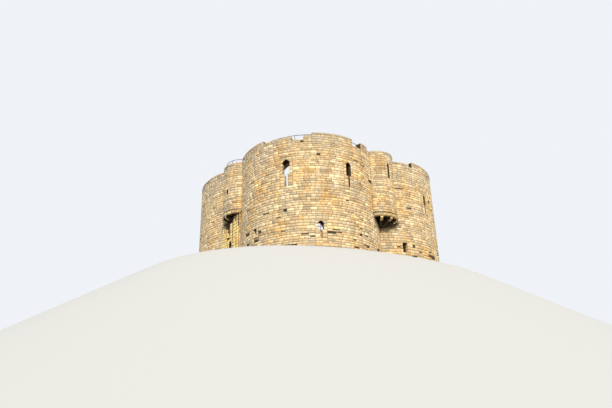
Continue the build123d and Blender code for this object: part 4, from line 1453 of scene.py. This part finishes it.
class KEEP_OT_turrets(bpy.types.Operator):
    """Lays the ashlar of the four turrets and the blocks of their corbel tables"""

    bl_idname = "keep.turrets"
    bl_label = "Turret facings"

    def execute(self, context):
        for number, turret in enumerate(TURRETS):
            face_turret(turret, TURRET_DRAWS + number)
            ring_blocks(turret, CORBEL_DRAWS + number)
        return {"FINISHED"}


class KEEP_OT_copings(bpy.types.Operator):
    """Lays the coping stones of the parapets"""

    bl_idname = "keep.copings"
    bl_label = "Copings"

    def execute(self, context):
        for number, lobe in enumerate(LOBES):
            cap_lobe(lobe, COPING_DRAWS + number)
        return {"FINISHED"}


class KEEP_OT_paving(bpy.types.Operator):
    """Lays the flags of the court, of the wall-walk and of the turrets' tops"""

    bl_idname = "keep.paving"
    bl_label = "Paving"

    def execute(self, context):
        pave_court(FLAG_DRAWS)
        for number, lobe in enumerate(LOBES):
            pave_walk(lobe, WALK_DRAWS + number)
        for number, turret in enumerate(TURRETS):
            pave_turret(turret, TOP_DRAWS + number)
        return {"FINISHED"}


class KEEP_OT_throats(bpy.types.Operator):
    """Lines the throats and the splays of the windows and small openings"""

    bl_idname = "keep.throats"
    bl_label = "Window linings"

    def execute(self, context):
        for number, lobe in enumerate(LOBES):
            line_throats(lobe, THROAT_DRAWS + number)
            line_splays(lobe, SPLAY_DRAWS + number)
        return {"FINISHED"}


class KEEP_OT_recess(bpy.types.Operator):
    """Faces the shafts and the broken wall of the recess"""

    bl_idname = "keep.recess"
    bl_label = "Recess"

    def execute(self, context):
        face_recess(RECESS_DRAWS)
        return {"FINISHED"}


class KEEP_OT_fixings(bpy.types.Operator):
    """Adds the iron fixings of the railings"""

    bl_idname = "keep.fixings"
    bl_label = "Rail fixings"

    def execute(self, context):
        rail_fixings()
        return {"FINISHED"}


# Stage: the camera of the photograph, soft lamps and a plain floor that falls away around the keep

CAMERA_PLACE = (5.3355, -52.948, -13.914)
CAMERA_YAW = -0.118275
CAMERA_PITCH = 0.411106
CAMERA_ROLL = -0.026326
CAMERA_LENS = 32.353
SENSOR_WIDTH = 36.0
EYE_HEIGHT = 1.6
BROW = 15.0
BROW_WAVES = ((1, 0.533, 0.341), (2, 0.504, 2.130))  # waves round the brow: cosine and sine parts
FLOOR_RINGS = ((0.0, 12.0, 5), (12.3, 45.0, 84), (50.0, 400.0, 12))
FLOOR_SPOKES = 180
FLOOR_GAP = 0.004
FLOOR_ROUGHNESS = 0.9
FALL_SLOPE = 0.62
FALL_SOFTNESS = 0.5
FLOOR_BOUNCE = (0.07, 0.07, 0.06)  # what the floor gives back to the walls, low so that undersides stay dark
KEY_DIRECTION = (-0.22, 0.81, -0.50)
KEY_SPREAD = 6.0
KEY_COLOUR = (1.0, 0.94, 0.84)
SKY = (0.93, 0.96, 1.0)
SKY_LEVEL = 0.93


def stage_floor(colour):
    """Plain floor on a polar grid: level round the keep, then a steady fall, then level. The fall starts at
    the brow, whose radius is a constant plus waves of the angle, and is softened by a log of exponentials."""
    radii = np.concatenate([np.linspace(*ring) for ring in FLOOR_RINGS])
    angles = np.linspace(0.0, 2 * math.pi, FLOOR_SPOKES, endpoint=False)
    radius, angle = np.meshgrid(radii, angles, indexing="ij")
    brow = BROW
    for count, cosine, sine in BROW_WAVES:
        brow = brow + cosine * np.cos(count * angle) + sine * np.sin(count * angle)
    fall = FALL_SLOPE * FALL_SOFTNESS * np.logaddexp(0.0, (radius - brow) / FALL_SOFTNESS)
    level = -np.minimum(fall, EYE_HEIGHT - CAMERA_PLACE[2])
    points = around((0.0, 0.0), angle, radius, level - FLOOR_GAP).reshape(-1, 3)
    tree = new_material("stage_floor")
    bounced = shader(tree, "ShaderNodeLightPath").outputs["Is Diffuse Ray"]
    surface = tree.nodes["Principled BSDF"]
    plug(tree, surface.inputs["Base Color"], mixed(tree, bounced, colour, FLOOR_BOUNCE))
    plug(tree, surface.inputs["Roughness"], FLOOR_ROUGHNESS)
    floor = build_mesh("stage_floor", points, ring_quads(*radius.shape), bpy.data.materials["stage_floor"])


def photo_camera():
    """Camera at the photograph's viewing angle: yaw, pitch and roll from level, looking along +Y."""
    yaw, pitch, roll = CAMERA_YAW, CAMERA_PITCH, CAMERA_ROLL
    ahead = Vector((math.sin(yaw) * math.cos(pitch), math.cos(yaw) * math.cos(pitch), math.sin(pitch)))
    right = Vector((math.cos(yaw), -math.sin(yaw), 0.0))
    up = right.cross(ahead)
    side = math.cos(roll) * right + math.sin(roll) * up
    top = -math.sin(roll) * right + math.cos(roll) * up
    camera_data = bpy.data.cameras.new("photo_camera")
    camera_data.lens = CAMERA_LENS
    camera_data.sensor_width = SENSOR_WIDTH
    camera = bpy.data.objects.new("photo_camera", camera_data)
    bpy.context.scene.collection.objects.link(camera)
    camera.matrix_world = Matrix.Translation(CAMERA_PLACE) @ Matrix((side, top, -ahead)).transposed().to_4x4()
    bpy.context.scene.camera = camera


def key_lamp(strength):
    """Distant lamp behind the camera and a little to its right, which shines down on the front."""
    lamp = bpy.data.lights.new("key_lamp", "SUN")
    lamp.energy = strength
    lamp.angle = math.radians(KEY_SPREAD)
    lamp.color = KEY_COLOUR
    holder = bpy.data.objects.new("key_lamp", lamp)
    bpy.context.scene.collection.objects.link(holder)
    holder.rotation_mode = "QUATERNION"
    holder.rotation_quaternion = Vector(KEY_DIRECTION).to_track_quat("-Z", "Y")


def pale_world(strength):
    """Even pale world: plain light on the object, near white where the camera, gloss or glass sees it."""
    world = bpy.data.worlds.new("pale_world")
    bpy.context.scene.world = world
    world.use_nodes = True
    tree = world.node_tree
    path = shader(tree, "ShaderNodeLightPath").outputs
    seen = math_node(tree, "MAXIMUM", path["Is Camera Ray"], path["Is Glossy Ray"])
    seen = math_node(tree, "MAXIMUM", seen, path["Is Transmission Ray"])
    background = tree.nodes["Background"]
    plug(tree, background.inputs["Color"], SKY)
    plug(tree, background.inputs["Strength"], ramp(tree, seen, (0.0, 1.0, strength, SKY_LEVEL)))


class KEEP_OT_stage(bpy.types.Operator):
    """Sets the floor, the lamp, the world and the camera"""

    bl_idname = "keep.stage"
    bl_label = "Stage"

    def execute(self, context):
        stage = context.scene.keep_stage
        stage_floor(tuple(stage.floor_colour))
        key_lamp(stage.key_strength)
        pale_world(stage.fill_strength)
        photo_camera()
        context.scene.view_settings.view_transform = "Standard"
        return {"FINISHED"}


class KEEP_PT_panel(bpy.types.Panel):
    """Lists the keep's settings and steps"""

    bl_idname = "KEEP_PT_panel"
    bl_label = "Keep"
    bl_space_type = "VIEW_3D"
    bl_region_type = "UI"
    bl_category = "Keep"

    def draw(self, context):
        for group in (context.scene.keep_stone, context.scene.keep_stage):
            for name in group.__annotations__:
                self.layout.prop(group, name)
        for operator in OPERATORS:
            self.layout.operator(operator.bl_idname)


OPERATORS = (
    KEEP_OT_materials,
    KEEP_OT_lobes,
    KEEP_OT_court,
    KEEP_OT_turrets,
    KEEP_OT_copings,
    KEEP_OT_paving,
    KEEP_OT_throats,
    KEEP_OT_recess,
    KEEP_OT_fixings,
    KEEP_OT_stage,
)
CLASSES = (KeepStoneSettings, KeepStageSettings, *OPERATORS, KEEP_PT_panel)


def register():
    """Registers the classes and the two groups of settings."""
    for cls in CLASSES:
        bpy.utils.register_class(cls)
    bpy.types.Scene.keep_stone = bpy.props.PointerProperty(type=KeepStoneSettings)
    bpy.types.Scene.keep_stage = bpy.props.PointerProperty(type=KeepStageSettings)


def unregister():
    """Undoes register."""
    del bpy.types.Scene.keep_stage
    del bpy.types.Scene.keep_stone
    for cls in reversed(CLASSES):
        bpy.utils.unregister_class(cls)


def main():
    register()
    bpy.ops.keep.materials()
    bpy.ops.keep.lobes()
    bpy.ops.keep.court()
    bpy.ops.keep.turrets()
    bpy.ops.keep.copings()
    bpy.ops.keep.paving()
    bpy.ops.keep.throats()
    bpy.ops.keep.recess()
    bpy.ops.keep.fixings()
    bpy.ops.keep.stage()


if __name__ == "__main__":
    main()
